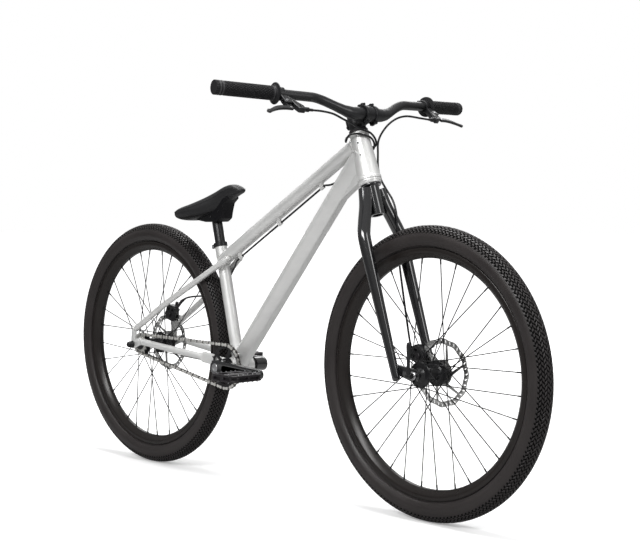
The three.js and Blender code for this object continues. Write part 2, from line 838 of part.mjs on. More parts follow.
function caliper(spec) {
  const [forward, up] = spec.directionShares;
  const outward = at(forward, 0, up).normalize();
  const basis = new THREE.Matrix4().makeBasis(Y.clone().cross(outward), Y, outward);
  const low = spec.outerSide - caliperWidth;
  const centre = outward.clone().multiplyScalar(spec.reach);
  const box = new THREE.BoxGeometry(caliperLength, caliperWidth, caliperHeight);
  const body = solid(box, basis.clone().setPosition(centre.x, low + caliperWidth / 2, centre.z));
  const slotDepth = rotorRadius + overrun;
  const slotBox = new THREE.BoxGeometry(2 * caliperLength, caliperSlot, slotDepth);
  const mouth = outward.clone().multiplyScalar(slotDepth / 2);
  const slot = solid(slotBox, basis.clone().setPosition(mouth.x, spec.rotorSide, mouth.z));
  const [pivotX, pivotZ] = onRotor(spec.pivotShares);
  const pin = rod(at(pivotX, low + overrun, pivotZ),
    at(pivotX, spec.outerSide + caliperArmThickness + fit, pivotZ), caliperPinRadius);
  const [from, to, foot] = [spec.stopFromShares, spec.stopToShares, spec.neckFootShares]
    .map((shares) => at(...onRotor(shares)));
  const stop = rod(from, to, stopRadius);
  const neck = rod(foot, from.clone().lerp(to, 0.5), stopRadius, undefined, 8);
  return join(cut(join(body, pin), slot), stop, neck);
}

function caliperArm(spec) {
  const [pivotX, pivotZ] = onRotor(spec.pivotShares);
  const [endX, endZ] = onRotor(spec.armEndShares);
  const low = spec.outerSide + fit;
  const shape = linkShape(pivotX, pivotZ, caliperArmRadius, endX, endZ, caliperArmRadius / 2);
  const eye = rod(at(pivotX, low - overrun, pivotZ), at(pivotX, low + 2 * caliperArmThickness, pivotZ),
    caliperPinRadius + fit);
  return cut(sidePlate(shape, low, low + caliperArmThickness), eye);
}

// Wheels, about their own axle, which lies along Y

const wheelSides = 36;
const tyreCentreRadius = tyreRadius - tyreWidth / 2;
const tyreSectionRadius = tyreWidth / 2;

function tyreProfile() {
  const beadHeight = rimSeatRadius + fit;
  const beadOuter = rimWidth / 2 - rimWall - fit;
  const beadInner = beadOuter - tyreBead;
  const outer = [];
  const inner = [];
  const outerSteps = 6;
  const innerSteps = 4;
  for (let i = 0; i <= outerSteps; i += 1) {
    const angle = tyreWallAngle + ((Math.PI - 2 * tyreWallAngle) * i) / outerSteps;
    const side = -tyreSectionRadius * Math.cos(angle);
    outer.push([tyreCentreRadius + tyreSectionRadius * Math.sin(angle), side]);
  }
  const innerRadius = tyreSectionRadius - tyreCasing;
  for (let i = innerSteps; i >= 0; i -= 1) {
    const angle = tyreWallAngle + ((Math.PI - 2 * tyreWallAngle) * i) / innerSteps;
    inner.push([tyreCentreRadius + innerRadius * Math.sin(angle), -innerRadius * Math.cos(angle)]);
  }
  const rimTop = rimOuterRadius + tyreLip;
  const profile = [[beadHeight, -beadOuter], [rimTop, -beadOuter], ...outer, [rimTop, beadOuter],
    [beadHeight, beadOuter], [beadHeight, beadInner], ...inner, [beadHeight, -beadInner]];
  profile.push(profile[0]);
  return profile;
}

function tyre() {
  return turned(tyreProfile(), wheelSides, at(0, 0, 0), Y);
}

function rim() {
  const half = rimWidth / 2;
  const bed = rimSpokeBedWidth / 2;
  const shoulder = rimSeatRadius - rimShoulderDepth;
  const wallInner = half - rimWall;
  const profile = [[rimInnerRadius, -bed], [shoulder, -half], [rimOuterRadius, -half],
    [rimOuterRadius, -wallInner], [rimSeatRadius, -wallInner], [rimSeatRadius, wallInner],
    [rimOuterRadius, wallInner], [rimOuterRadius, half], [shoulder, half], [rimInnerRadius, bed],
    [rimInnerRadius, -bed]];
  return turned(profile, wheelSides, at(0, 0, 0), Y);
}

// The point of a line where its distance from the axle reaches a radius
function atRadius(from, to, radius) {
  const along = to.clone().sub(from).normalize();
  const planar = along.x ** 2 + along.z ** 2;
  const outward = (from.x * along.x + from.z * along.z) / planar;
  const short = (radius ** 2 - from.x ** 2 - from.z ** 2) / planar;
  return from.clone().addScaledVector(along, Math.sqrt(outward ** 2 + short) - outward);
}

// One side's spokes all lie on one surface, so crossing spokes meet and make one body
function spokes(side, flangeSide, phase) {
  const pitch = (2 * Math.PI) / spokesPerSide;
  const hubRadius = flangeRadius - flangeHoleInset;
  const swing = spokeCrossings * pitch;
  const flangeY = side * flangeSide;
  const rimY = side * rimSpokeBedWidth / 6;
  const startRadius = flangeRadius + fit + spokeRadius;
  const endRadius = rimInnerRadius * Math.cos(Math.PI / wheelSides) - 2 * fit;
  const rods = [];
  for (let i = 0; i < spokesPerSide; i += 1) {
    const turn = phase + pitch * i;
    const lean = i % 2 ? -swing : swing;
    const from = at(hubRadius * Math.cos(turn), flangeY, hubRadius * Math.sin(turn));
    const to = at(rimInnerRadius * Math.cos(turn + lean), rimY, rimInnerRadius * Math.sin(turn + lean));
    rods.push(rod(atRadius(from, to, startRadius), atRadius(from, to, endRadius), spokeRadius,
      undefined, 3));
  }
  return join(rods);
}

function hub(rightFlange, leftFlange, rotorSide, half, axleRadius, driver) {
  const bore = axleRadius + fit;
  const t = flangeThickness / 2;
  const endRadius = coneRadius + hubEndLip;
  const rotorFace = rotorSide - rotorThickness / 2 - fit;
  const coneFace = half - coneLength - fit;
  const rightPart = driver
    ? [[driver.radius, -driver.end], [driver.radius, -rightFlange - t]]
    : [[endRadius, -coneFace], [hubShellRadius, -rightFlange - t]];
  const rightEnd = driver ? driver.end : coneFace;
  const mount = rotorMountRadius - rotorMountStep;
  return turned([
    [bore, -rightEnd], ...rightPart, [flangeRadius, -rightFlange - t],
    [flangeRadius, -rightFlange + t], [hubShellRadius, -rightFlange + t],
    [hubShellRadius, leftFlange - t], [flangeRadius, leftFlange - t], [flangeRadius, leftFlange + t],
    [mount, leftFlange + t], [mount, rotorFace],
    [rotorSeatRadius - fit, rotorFace], [rotorSeatRadius - fit, rotorFace + rotorThickness],
    [endRadius, coneFace], [bore, coneFace], [bore, -rightEnd],
  ], tubeSides, at(0, 0, 0), Y);
}

function arcPoints(radius, from, to, steps) {
  const points = [];
  for (let i = 0; i <= steps; i += 1) {
    const angle = from + ((to - from) * i) / steps;
    points.push([radius * Math.cos(angle), radius * Math.sin(angle)]);
  }
  return points;
}

function rotor(side) {
  const shape = roundShape(rotorRadius, 30);
  const inner = rotorMountRadius + rotorRingLip;
  const outer = rotorRadius - rotorBandWidth;
  const innerSpread = Math.asin(rotorArmWidth / 2 / inner);
  const outerSpread = Math.asin(rotorArmWidth / 2 / outer);
  const pitch = (2 * Math.PI) / rotorArms;
  for (let i = 0; i < rotorArms; i += 1) {
    const start = pitch * i;
    const end = start + pitch;
    shape.holes.push(outline([
      ...arcPoints(inner, start + innerSpread, end - innerSpread, 2),
      ...arcPoints(outer, end - outerSpread, start + outerSpread, 4),
    ]));
  }
  shape.holes.push(roundShape(rotorSeatRadius, 20));
  return sidePlate(shape, side - rotorThickness / 2, side + rotorThickness / 2);
}

// Chain drive

function pitchRadius(teeth) {
  return chainPitch / (2 * Math.sin(Math.PI / teeth));
}

const toothTip = 2.6;
const toothRoot = 3.9;

function toothedShape(teeth) {
  const mid = pitchRadius(teeth);
  const placeShares = [[-0.34, -toothRoot], [0, toothTip], [0.34, -toothRoot]];
  const points = [];
  for (let i = 0; i < teeth; i += 1) {
    for (const [share, offset] of placeShares) {
      const angle = (2 * Math.PI * (i + 0.5 + share)) / teeth;
      points.push([(mid + offset) * Math.cos(angle), (mid + offset) * Math.sin(angle)]);
    }
  }
  return outline(points);
}

function chainring() {
  const low = -chainLine - toothThickness / 2;
  const high = -chainLine + toothThickness / 2;
  const disc = sidePlate(toothedShape(chainringTeeth), low, high);
  const windowPlace = (pitchRadius(chainringTeeth) + ringBoreRadius) / 2;
  const bore = rod(at(0, low - overrun, 0), at(0, high + overrun, 0), ringBoreRadius, undefined, tubeSides);
  const windows = [];
  for (let i = 0; i < ringWindows; i += 1) {
    const turn = (2 * Math.PI * (i + 0.5)) / ringWindows;
    const x = windowPlace * Math.cos(turn);
    const z = windowPlace * Math.sin(turn);
    windows.push(rod(at(x, low - overrun, z), at(x, high + overrun, z), ringWindowRadius, undefined, 8));
  }
  return cut(disc, bore, windows);
}

function cog() {
  const low = -chainLine - toothThickness / 2;
  const high = -chainLine + toothThickness / 2;
  const disc = sidePlate(toothedShape(cogTeeth), low, high);
  return cut(disc, rod(at(0, low - overrun, 0), at(0, high + overrun, 0), driverRadius + fit,
    undefined, tubeSides));
}

// The loop of the chain at an offset from its pitch line
function chainLoop(offset) {
  const big = pitchRadius(chainringTeeth) + offset;
  const small = pitchRadius(cogTeeth) + offset;
  return linkShape(bracket.x, bracket.z, big, rearAxle.x, rearAxle.z, small);
}

function chain() {
  const half = chainWidth / 2;
  const groove = half - chainPlateThickness;
  const outside = chainPlateHeight / 2;
  const arcSteps = 8;
  const whole = sidePlate(chainLoop(outside), -chainLine - half, -chainLine + half, arcSteps);
  const middle = sidePlate(chainLoop(toothTip + 2 * fit), -chainLine - groove, -chainLine + groove, arcSteps);
  const open = sidePlate(chainLoop(-outside), -chainLine - chainWidth, -chainLine + chainWidth, arcSteps);
  return cut(whole, middle, open);
}

function crankArm(side) {
  const shape = linkShape(0, 0, crankBossRadius, -side * crankLength, 0, crankEndRadius);
  const outer = crankArmInner + crankArmThickness;
  const span = side > 0 ? [crankArmInner, outer] : [-outer, -crankArmInner];
  const arm = sidePlate(shape, ...span);
  const shoulder = chainLine + toothThickness / 2 + fit;
  const bossFoot = shellWidth / 2 + bracketCupFlange + 2 * fit;
  const boss = rod(at(0, side * shoulder, 0), at(0, side * (crankArmInner + overrun), 0),
    crankBossRadius, undefined, tubeSides);
  const neck = rod(at(0, side * bossFoot, 0), at(0, side * (crankArmInner + overrun), 0),
    ringBoreRadius - fit, undefined, tubeSides);
  const bore = rod(at(0, 0, 0), at(0, side * (spindleHalf + 2 * fit), 0), spindleRadius + fit,
    undefined, tubeSides);
  const pedalX = -side * crankLength;
  const pedalHole = rod(at(pedalX, 0, 0), at(pedalX, side * 2 * outer, 0), pedalThreadRadius + fit);
  return cut(join(arm, boss, neck), bore, pedalHole);
}

function spindle() {
  return rod(at(0, -spindleHalf, 0), at(0, spindleHalf, 0), spindleRadius, undefined, tubeSides);
}

const pedalInner = pedalCentre - pedalWidth / 2;

function pedalAxle(side) {
  const outer = crankArmInner + crankArmThickness;
  const thread = rod(at(0, side * crankArmInner, 0), at(0, side * (outer + overrun), 0), pedalThreadRadius);
  const flats = rod(at(0, side * (outer + fit), 0), at(0, side * (pedalInner - fit), 0),
    pedalFlatsRadius, undefined, 8);
  const shaft = rod(at(0, side * outer, 0), at(0, side * (pedalCentre + pedalWidth / 2 - pedalRail), 0),
    pedalAxleRadius);
  return join(thread, flats, shaft);
}

function pedal(side) {
  const halfX = pedalLength / 2;
  const y = side * pedalCentre;
  const body = block(at(0, y, 0), pedalLength, pedalWidth, pedalHeight);
  const windowX = halfX - pedalRail - pedalAxleTube;
  const windows = [];
  for (const end of [-1, 1]) {
    for (const half of [-1, 1]) {
      const x = end * (pedalAxleTube + windowX / 2);
      const windowY = pedalWidth / 2 - 1.5 * pedalRail;
      const centre = at(x, y + half * (windowY / 2 + pedalRail / 2), 0);
      windows.push(block(centre, windowX, windowY, pedalHeight + 2 * overrun));
    }
  }
  const hole = rod(at(0, 0, 0), at(0, side * (pedalCentre + pedalWidth / 2 - pedalRail + fit), 0),
    pedalAxleRadius + fit);
  return cut(body, windows, hole);
}

// Fork, headset and stem, in the steering frame

function forkSteerer() {
  return turned([
    [steererBore, crownTubeFoot],
    [crownTubeRadius, crownTubeFoot],
    [crownTubeRadius, crownSeat - crownRaceHeight],
    [crownRaceRadius, crownSeat - crownRaceHeight],
    [crownRaceRadius, crownSeat],
    [steererRadius, crownSeat],
    [steererRadius, steererTop],
    [steererBore, steererTop],
    [steererBore, crownTubeFoot],
  ], tubeSides, at(0, 0, 0), Z);
}

// Places along the bend of a leg as shares of its way outwards and of its way down
const forkSplayShares = [[0, 0], [0.237, 0.268], [0.684, 0.57], [0.947, 0.775], [1, 1]];

function forkLeg(side) {
  const y = side * forkLegSpread;
  const high = at(0, side * forkLegTopSpread, forkLegTop);
  const splay = sweep(forkSplayShares.map(([out, down]) => at(0, high.y + out * (y - high.y),
    high.z + down * (forkSplayFoot - high.z))), forkLegTopRadius, 12, 7);
  const foot = at(0, y, forkLegFootRadius / 2);
  const leg = rod(at(0, y, forkSplayFoot + forkLegLap), foot, forkLegTopRadius, forkLegFootRadius, 12);
  const inner = frontAxleWidth / 2 + fit;
  const outer = inner + dropoutThickness;
  const dropoutShape = linkShape(frontDropoutAhead, frontDropoutUp, forkLegFootRadius + dropoutLip,
    forkRake, 0, frontDropoutRadius);
  const span = side > 0 ? [inner, outer] : [-outer, -inner];
  const dropout = sidePlate(dropoutShape, ...span);
  const slotRadius = skewerRadius + fit;
  const hole = rod(at(forkRake, side * (inner - overrun), 0), at(forkRake, side * (outer + overrun), 0),
    slotRadius);
  const slot = block(at(forkRake, side * (inner + outer) / 2, -frontDropoutRadius), 2 * slotRadius,
    2 * dropoutThickness, 2 * frontDropoutRadius);
  const crown = rod(at(0, 0, crownTubeFoot - crownTubeRadius), at(0, 0, crownSeat - crownRaceHeight + fit),
    crownTubeRadius + fit, undefined, tubeSides);
  const race = rod(at(0, 0, crownSeat - crownRaceHeight - fit), at(0, 0, crownSeat + crownRaceHeight),
    cupRadius + 2 * overrun, undefined, tubeSides);
  const tab = side > 0 ? [discTab()] : [];
  return cut(join(splay, leg, dropout, tab), hole, slot, crown, race);
}

function discTab() {
  const low = frontCaliper.outerSide + fit;
  const shape = linkShape(0, discTabHeight, forkLegFootRadius, discTabReach, discTabHeight,
    discTabRadius);
  return sidePlate(shape, low, low + discTabThickness);
}

function stemSolid() {
  const middle = stemFoot + stemHeight / 2;
  const ring = rod(at(0, 0, stemFoot), at(0, 0, stemFoot + stemHeight), stemRadius, undefined, tubeSides);
  const body = block(at(stemReach / 2, 0, middle), stemReach, stemBodyWidth, stemBodyHeight);
  const bolts = block(at(stemBoltDepth / 2 - stemBoltBack, 0, middle), stemBoltDepth, stemBoltWidth,
    stemBoltHeight);
  const clamp = rod(at(stemReach, -stemClampWidth / 2, barHeight), at(stemReach, stemClampWidth / 2,
    barHeight), stemClampRadius, undefined, tubeSides);
  const steererSpace = rod(at(0, 0, stemFoot - overrun), at(0, 0, stemFoot + stemHeight + overrun),
    steererRadius + fit, undefined, tubeSides);
  const barSpace = rod(at(stemReach, -stemClampWidth, barHeight), at(stemReach, stemClampWidth,
    barHeight), barClampRadius + fit, undefined, tubeSides);
  return cut(join(ring, body, bolts, clamp), steererSpace, barSpace);
}

function stem() {
  const size = 4 * stemClampRadius;
  const front = block(at(stemReach + size / 2, 0, barHeight), size, size, size);
  return cut(stemSolid(), front);
}

function stemFaceplate() {
  const size = 4 * stemClampRadius;
  const rear = block(at(stemReach + faceplateGap - size / 2, 0, barHeight), size, 2 * size, 2 * size);
  return cut(stemSolid(), rear);
}

function topCap() {
  const low = stemFoot + stemHeight + fit;
  const profile = [[0, low], [topCapRadius, low], [topCapRadius, low + topCapHeight / 2],
    [topCapRadius - topCapBevel, low + topCapHeight], [0, low + topCapHeight]];
  return turned(profile, tubeSides, at(0, 0, 0), Z);
}

// Handlebar: the centre line from the stem clamp to one end

function barPoint(y) {
  const side = Math.abs(y);
  const share = THREE.MathUtils.smoothstep(side, barClampHalf, barBendEnd);
  const beyond = Math.max(0, side - barBendEnd);
  const x = stemReach - barTwist * share - beyond * Math.tan(barBackSweep);
  const z = barHeight + barRise * share + beyond * Math.tan(barUpSweep);
  return at(x, y, z);
}

// Half of the bar, as [distance from the middle, radius] pairs. The taper's shares are of its run
// and of the radius it loses, and the bend's are of the run after it.
const barTaperShares = [[0, 1], [0.31, 0.69], [0.69, 0.19], [1, 0]];
const barBendShares = [0.32, 0.68, 1];
const barStations = [
  [0, barClampRadius],
  ...barTaperShares.map(([way, width]) => [barClampHalf + way * (barTaperEnd - barClampHalf),
    barRadius + width * (barClampRadius - barRadius)]),
  ...barBendShares.map((way) => [barTaperEnd + way * (barBendEnd - barTaperEnd), barRadius]),
  [gripStart, barRadius],
  [barHalfWidth, barRadius],
];
const barSides = 12;

function handlebar() {
  const leftHalf = barStations.map(([y, radius]) => [barPoint(y), radius]);
  const rightHalf = barStations.slice(1).map(([y, radius]) => [barPoint(-y), radius]).reverse();
  const stations = [...rightHalf, ...leftHalf];
  const rings = stations.map(([centre, radius], index) => {
    const before = stations[Math.max(index - 1, 0)][0];
    const after = stations[Math.min(index + 1, stations.length - 1)][0];
    const basis = basisAlong(centre, after.clone().sub(before), Z);
    return ringPoints(radius, barSides, basis);
  });
  return loft(rings);
}

function barDirection(side) {
  return barPoint(side * barHalfWidth).sub(barPoint(side * gripStart)).normalize();
}

function grip(side) {
  const bore = barRadius + 2 * fit;
  const ribStart = gripFlangeThickness + gripFlangeRun;
  const barEnd = barPoint(side * barHalfWidth).distanceTo(barPoint(side * gripStart)) + fit;
  const profile = [[0, barEnd], [bore, barEnd], [bore, 0], [gripFlangeRadius, 0],
    [gripFlangeRadius, gripFlangeThickness], [gripRadius, ribStart]];
  const ribRun = (gripLength - 2 * ribStart - gripCapThickness) / gripRibCount;
  for (let i = 0; i < gripRibCount; i += 1) {
    const start = ribStart + ribRun * i;
    profile.push([gripRadius + gripRibHeight, start + ribRun / 4],
      [gripRadius + gripRibHeight, start + 0.75 * ribRun], [gripRadius, start + ribRun]);
  }
  const capStart = gripLength - gripCapThickness;
  profile.push([gripRadius + gripRibHeight, capStart], [gripRadius + gripRibHeight, gripLength],
    [0, gripLength]);
  return turned(profile, 16, barPoint(side * gripStart), barDirection(side));
}

// Brake levers: reach runs from the bar towards the fingers, along runs outwards on the bar

const leverReachAxis = at(Math.cos(perchDrop), 0, -Math.sin(perchDrop));

function leverMatrix(side) {
  const outward = barDirection(side);
  const reach = leverReachAxis.clone().addScaledVector(outward, -leverReachAxis.dot(outward)).normalize();
  return new THREE.Matrix4().makeBasis(reach, outward, reach.clone().cross(outward))
    .setPosition(barPoint(side * perchAlong));
}

function leverPlate(shape, thickness, side) {
  const options = { depth: thickness, bevelEnabled: false, curveSegments: 4 };
  const plate = new THREE.ExtrudeGeometry(shape, options).translate(0, 0, -thickness / 2);
  return solid(plate, leverMatrix(side));
}

function onLever(side, reach, along, up = 0) {
  return at(reach, along, up).applyMatrix4(leverMatrix(side));
}

function leverPerch(side) {
  const half = perchRingWidth / 2;
  const centre = barPoint(side * perchAlong);
  const along = barDirection(side);
  const from = centre.clone().addScaledVector(along, -half);
  const to = centre.clone().addScaledVector(along, half);
  const ring = rod(from, to, perchRingRadius, undefined, 16);
  const lugEnd = -barrelStart - perchLugLength;
  const bodyShape = outline([[barRadius, half], [barRadius, -half],
    [leverPivotReach - perchPivotHalf, -barrelStart], [leverAnchorReach - perchLugHalf, lugEnd],
    [leverAnchorReach + perchLugHalf, lugEnd], [leverAnchorReach + perchLugHalf, -barrelStart],
    [leverPivotReach + perchPivotHalf, -perchPivotHalf], [leverPivotReach + perchPivotHalf, perchPivotHalf],
    [leverPivotReach - perchPivotHalf, perchPivotHalf]]);
  const body = leverPlate(bodyShape, perchThickness, side);
  const slotBack = leverPivotReach - perchSlotBack;
  const slotFront = leverAnchorReach + perchThickness;
  const slotShape = outline([[slotBack, -perchSlotInside], [slotFront, -perchSlotInside],
    [slotFront, perchThickness], [slotBack, perchThickness]]);
  const slot = leverPlate(slotShape, perchSlot, side);
  const barrel = rod(onLever(side, leverAnchorReach, -barrelStart), onLever(side, leverAnchorReach,
    -barrelEnd), barrelRadius, undefined, 12);
  const pinEnd = perchThickness / 2;
  const pin = rod(onLever(side, leverPivotReach, 0, -pinEnd), onLever(side, leverPivotReach, 0, pinEnd),
    leverPinRadius, undefined, 10);
  const barSpace = rod(centre.clone().addScaledVector(along, -2 * perchRingWidth),
    centre.clone().addScaledVector(along, 2 * perchRingWidth), barRadius + 2 * fit, undefined, 16);
  return cut(join(cut(body, slot), ring, barrel, pin), barSpace);
}

function leverBladeShape() {
  const half = leverBladeWidth / 2;
  const inner = leverTipReach - leverBow;
  const shape = new THREE.Shape();
  shape.moveTo(leverAnchorReach - half, leverHeel);
  shape.quadraticCurveTo(inner - half, leverLength / 2, leverTipReach - half, leverLength - half);
  shape.absarc(leverTipReach, leverLength, half, -0.8 * Math.PI, 0.3 * Math.PI, true);
  shape.quadraticCurveTo(inner + half + leverSwell, leverLength / 2, leverAnchorReach + half, 0);
  shape.lineTo(leverAnchorReach + half, -leverHeel);
  shape.lineTo(leverAnchorReach - half, -leverHeel);
  return shape;
}

function brakeLever(side) {
  const root = leverPlate(linkShape(leverPivotReach, 0, leverRootRadius, leverAnchorReach - leverSwell, 0,
    leverRootRadius), leverThickness, side);
  const blade = leverPlate(leverBladeShape(), leverThickness, side);
  const reach = perchThickness;
  const eye = rod(onLever(side, leverPivotReach, 0, -reach), onLever(side, leverPivotReach, 0, reach),
    leverPinRadius + fit, undefined, 10);
  return cut(join(root, blade), eye);
}

// Front quick-release, about the front axle

const skewerFace = frontAxleWidth / 2 + fit + dropoutThickness + fit;

function frontSkewer() {
  const shaft = rod(at(0, -skewerFace - skewerHeadLength, 0), at(0, skewerFace + skewerNutLength, 0),
    skewerRadius);
  const nut = rod(at(0, skewerFace, 0), at(0, skewerFace + skewerNutLength, 0), skewerNutRadius);
  const head = rod(at(0, -skewerFace, 0), at(0, -skewerFace - skewerHeadLength, 0), skewerHeadRadius);
  const cones = [-1, 1].map((side) => rod(at(0, side * (frontAxleWidth / 2 - coneLength), 0),
    at(0, side * frontAxleWidth / 2, 0), coneRadius));
  return join(shaft, nut, head, cones);
}

const quickPivotSide = skewerFace + skewerHeadLength + quickBarrelRadius + fit;

function quickLever() {
  const barrel = rod(at(-quickBarrelLength / 2, 0, 0), at(quickBarrelLength / 2, 0, 0), quickBarrelRadius,
    undefined, 12);
  const half = quickLeverWidth / 2;
  const shape = outline([[-half, 0], [half, 0]]);
  shape.absarc(0, quickLeverLength, half, 0, Math.PI, false);
  return join(barrel, sidePlate(shape, -quickLeverThickness, 0));
}

// Seat post and saddle, about the tilt pivot in the saddle's own frame

function seatpost() {
  const post = turned([
    [0, seatpostFoot],
    [seatpostRadius, seatpostFoot],
    [seatpostRadius, seatHeadAlong - seatConeRun],
    [seatHeadRadius - fit, seatHeadAlong],
    [0, seatHeadAlong],
  ], tubeSides, bracket, seatUp);
  const pivot = onSeat(seatHeadAlong);
  const half = seatHeadWidth / 2;
  const head = rod(at(pivot.x, -half, pivot.z), at(pivot.x, half, pivot.z), seatHeadRadius, undefined, 16);
  return join(post, head);
}

// Saddle stations from tail to nose: place, half width, crown height and underside, each as a share
const saddleStationShares = [
  [0.0, 0.4, 0.35, 0.15],
  [0.052, 0.82, 0.48, -0.08],
  [0.14, 1.0, 0.54, -0.2],
  [0.3, 0.95, 0.57, -0.3],
  [0.46, 0.72, 0.66, -0.3],
  [0.62, 0.48, 0.79, -0.2],
  [0.763, 0.36, 0.9, 0.1],
  [0.884, 0.31, 0.84, 0.24],
  [0.964, 0.24, 0.62, 0.3],
  [1.0, 0.12, 0.45, 0.36],
];
// The keel under the pad, round the head of the post: forward of the tilt pivot as a share of the
// saddle's length, up from it as a share of its height
const keelShares = [[0.313, 0.69], [0.313, 0.577], [0.241, 0.423], [0.2, 0.115], [0.161, -0.269],
  [0.096, -0.385], [-0.096, -0.192], [-0.241, 0.077], [-0.241, 0.5]];
const saddleRingPoints = 18;

function saddleRing([place, half, crown, under]) {
  const x = place * saddleLength - saddleRear;
  const width = half * saddleWidth / 2;
  const top = crown * saddleHeight;
  const low = under * saddleHeight;
  const middle = (top + low) / 2;
  const ring = [];
  for (let i = 0; i < saddleRingPoints; i += 1) {
    const angle = (2 * Math.PI * i) / saddleRingPoints;
    const c = Math.cos(angle);
    const s = Math.sin(angle);
    const y = width * Math.sign(c) * Math.abs(c) ** 0.8;
    const z = middle + (top - low) / 2 * Math.sign(s) * Math.abs(s) ** 0.8;
    ring.push(at(x, y, z));
  }
  return ring;
}

function saddle() {
  const pad = loft(saddleStationShares.map(saddleRing)).translate([0, 0, saddleLift]);
  const keelPoints = keelShares.map(([forward, up]) => [forward * saddleLength, up * saddleHeight]);
  const keel = sidePlate(outline(keelPoints), -keelHalfWidth, keelHalfWidth);
  const head = rod(at(0, -saddleWidth, 0), at(0, saddleWidth, 0), seatHeadRadius + fit, undefined, tubeSides);
  const post = rod(at(0, 0, 0), at(0, 0, -saddleHeight), keelPostSpace, undefined, tubeSides);
  return cut(join(pad, keel), head, post);
}

// Brake cables: points along the real routes, each list in the frame of what carries that stretch

const cableInset = 235;
const cableSpread = barHalfWidth - cableInset;

// Round the bars and the head tube: forward and side in the steering frame, up from the head tube's rim
const rearCableHead = [
  [57.5, -cableSpread, 23.5], [48, -0.7228915663 * cableSpread, 23], [42.4, -0.5421686747 * cableSpread, 16],
  [37, -0.3313253012 * cableSpread, 7],
  [30, -22, -2], [29, 8, -9], [21, 29, -23.5], [12.6, 35.5, -32], [-1.3, 37, -32],
  [-16, 33, -20], [-29, 18, -4], [-35, 0, 5.5], [-30.5, -16, -4], [-22, -27, -14],
  [-14, -32, -12], [0, -34.5, -6], [14, -30, -7], [24.5, -15, -12.5], [28, 4, -19],
  [20.5, 21.5, -29.5], [8, 30, -39], [-13, 33, -43],
];
const frontCableHead = [
  [57.5, cableSpread, 25.5], [48, 0.734939759 * cableSpread, 0.1927710843 * cableSpread],
  [42, 0.5060240964 * cableSpread, 0.1325301205 * cableSpread], [30, 57, 2], [17, 42, -23], [9, 38, -55], [2, 35.5, -88], [0.5, 38, -114],
];
// Under the top tube: along it from its front or rear end, side, and down from its line
const rearCableNeck = [
  [-63.5620133, 34, 26.5812051], [-113.2885915, 26, 30.2578095],
  [-147.0215828, 10, 30.5498639],
];
const rearCableTurn = [
  [47.9308817, 1, 28.4481335], [26.4495662, 11, 29.7871949],
  [-4.9306405, 24, 30.3188207],
];
// Down the seatstay: the share of the way from its foot, then out, and up square to its line
const rearCableStay = [
  [0.7951242147, 8.8586486, -12.8445296], [0.6979718234, 18.0496053, -10.6828156],
  [0.5638244467, 22.9093101, -4.3898726], [0.4371752873, 23.6401767, 7.0800228],
  [0.3425871887, 18.4580658, 24.8598068], [0.2791118887, 10.3160385, 36.4253877],
];
// Down the fork: up from the crown's seat beside the crown, and as a share of its height on the leg
const frontCableCrown = [[5, 43, -11], [15.5, 45, -42], [19.5, 43, -73], [15, 41, -103], [6.5, 41.5, -133]];
const frontCableLeg = [
  [-2.5, 43.3, 0.641025641], [-9, 44, 0.5769230769], [-17, 45, 0.4700854701], [-27, 47.5, 0.3418803419],
  [-36, 51, 0.2393162393],
];

function onTopTube(end, along, side, under) {
  return end.clone().addScaledVector(topTubeAlong, along).addScaledVector(topTubeDown, under)
    .addScaledVector(Y, side);
}

function onSeatstay(way, out, up) {
  const run = at(seatstayEnd.x - seatstayFoot.x, 0, seatstayEnd.z - seatstayFoot.z).normalize();
  return seatstayFoot.clone().lerp(seatstayEnd, way).add(at(-run.z * up, out, run.x * up));
}

// The first two points of a cable, leaving the end of a lever's barrel, in the steering frame
function cableStart(side) {
  return [onLever(side, leverAnchorReach, -barrelEnd - fit),
    onLever(side, leverAnchorReach, -barrelEnd - 2 * barrelRadius)];
}

// The last two points of a cable, in line with the stop on its caliper and just clear of it
function cableEnd(spec, origin) {
  const stop = at(...onRotor(spec.stopToShares));
  const along = stop.clone().sub(at(...onRotor(spec.stopFromShares))).normalize();
  const to = stop.add(origin);
  return [to.clone().addScaledVector(along, 3 * stopRadius), to.clone().addScaledVector(along, fit)];
}

function rearCable() {
  const frontPoints = [...cableStart(-1).map((point) => onSteer(...point.toArray())),
    ...rearCableHead.map(([forward, side, up]) => onSteer(forward, side, headTop + up)),
    ...rearCableNeck.map((point) => onTopTube(topTubeFront, ...point))];
  const backPoints = [...rearCableTurn.map((point) => onTopTube(topTubeRear, ...point)),
    ...rearCableStay.map((point) => onSeatstay(...point))];
  const firstGuide = guidePlaces[0] + guideLength;
  const lastGuide = guidePlaces[guidePlaces.length - 1] - guideLength;
  const lap = 2 * overrun;
  const front = sweep([...frontPoints, underTopTube(firstGuide - lap)], cableRadius, cableSides, 38);
  const end = cableEnd(rearCaliper, rearAxle);
  const back = sweep([underTopTube(lastGuide + lap), ...backPoints, ...end], cableRadius, cableSides, 20);
  const middle = rod(underTopTube(firstGuide), underTopTube(lastGuide), cableRadius, undefined, cableSides);
  return join(front, middle, back);
}

function frontCable() {
  const end = cableEnd(frontCaliper, at(forkRake, 0, 0));
  const route = [...frontCableHead.map(([forward, side, up]) => at(forward, side, headTop + up)),
    ...frontCableCrown.map(([forward, side, up]) => at(forward, side, crownSeat + up)),
    ...frontCableLeg.map(([forward, side, share]) => at(forward, side, share * crownSeat))];
  return sweep([...cableStart(1), ...route, ...end], cableRadius, cableSides, 40);
}

// Materials

function material(color, roughness, metalness) {
  return new THREE.MeshStandardMaterial({ color, roughness, metalness });
}

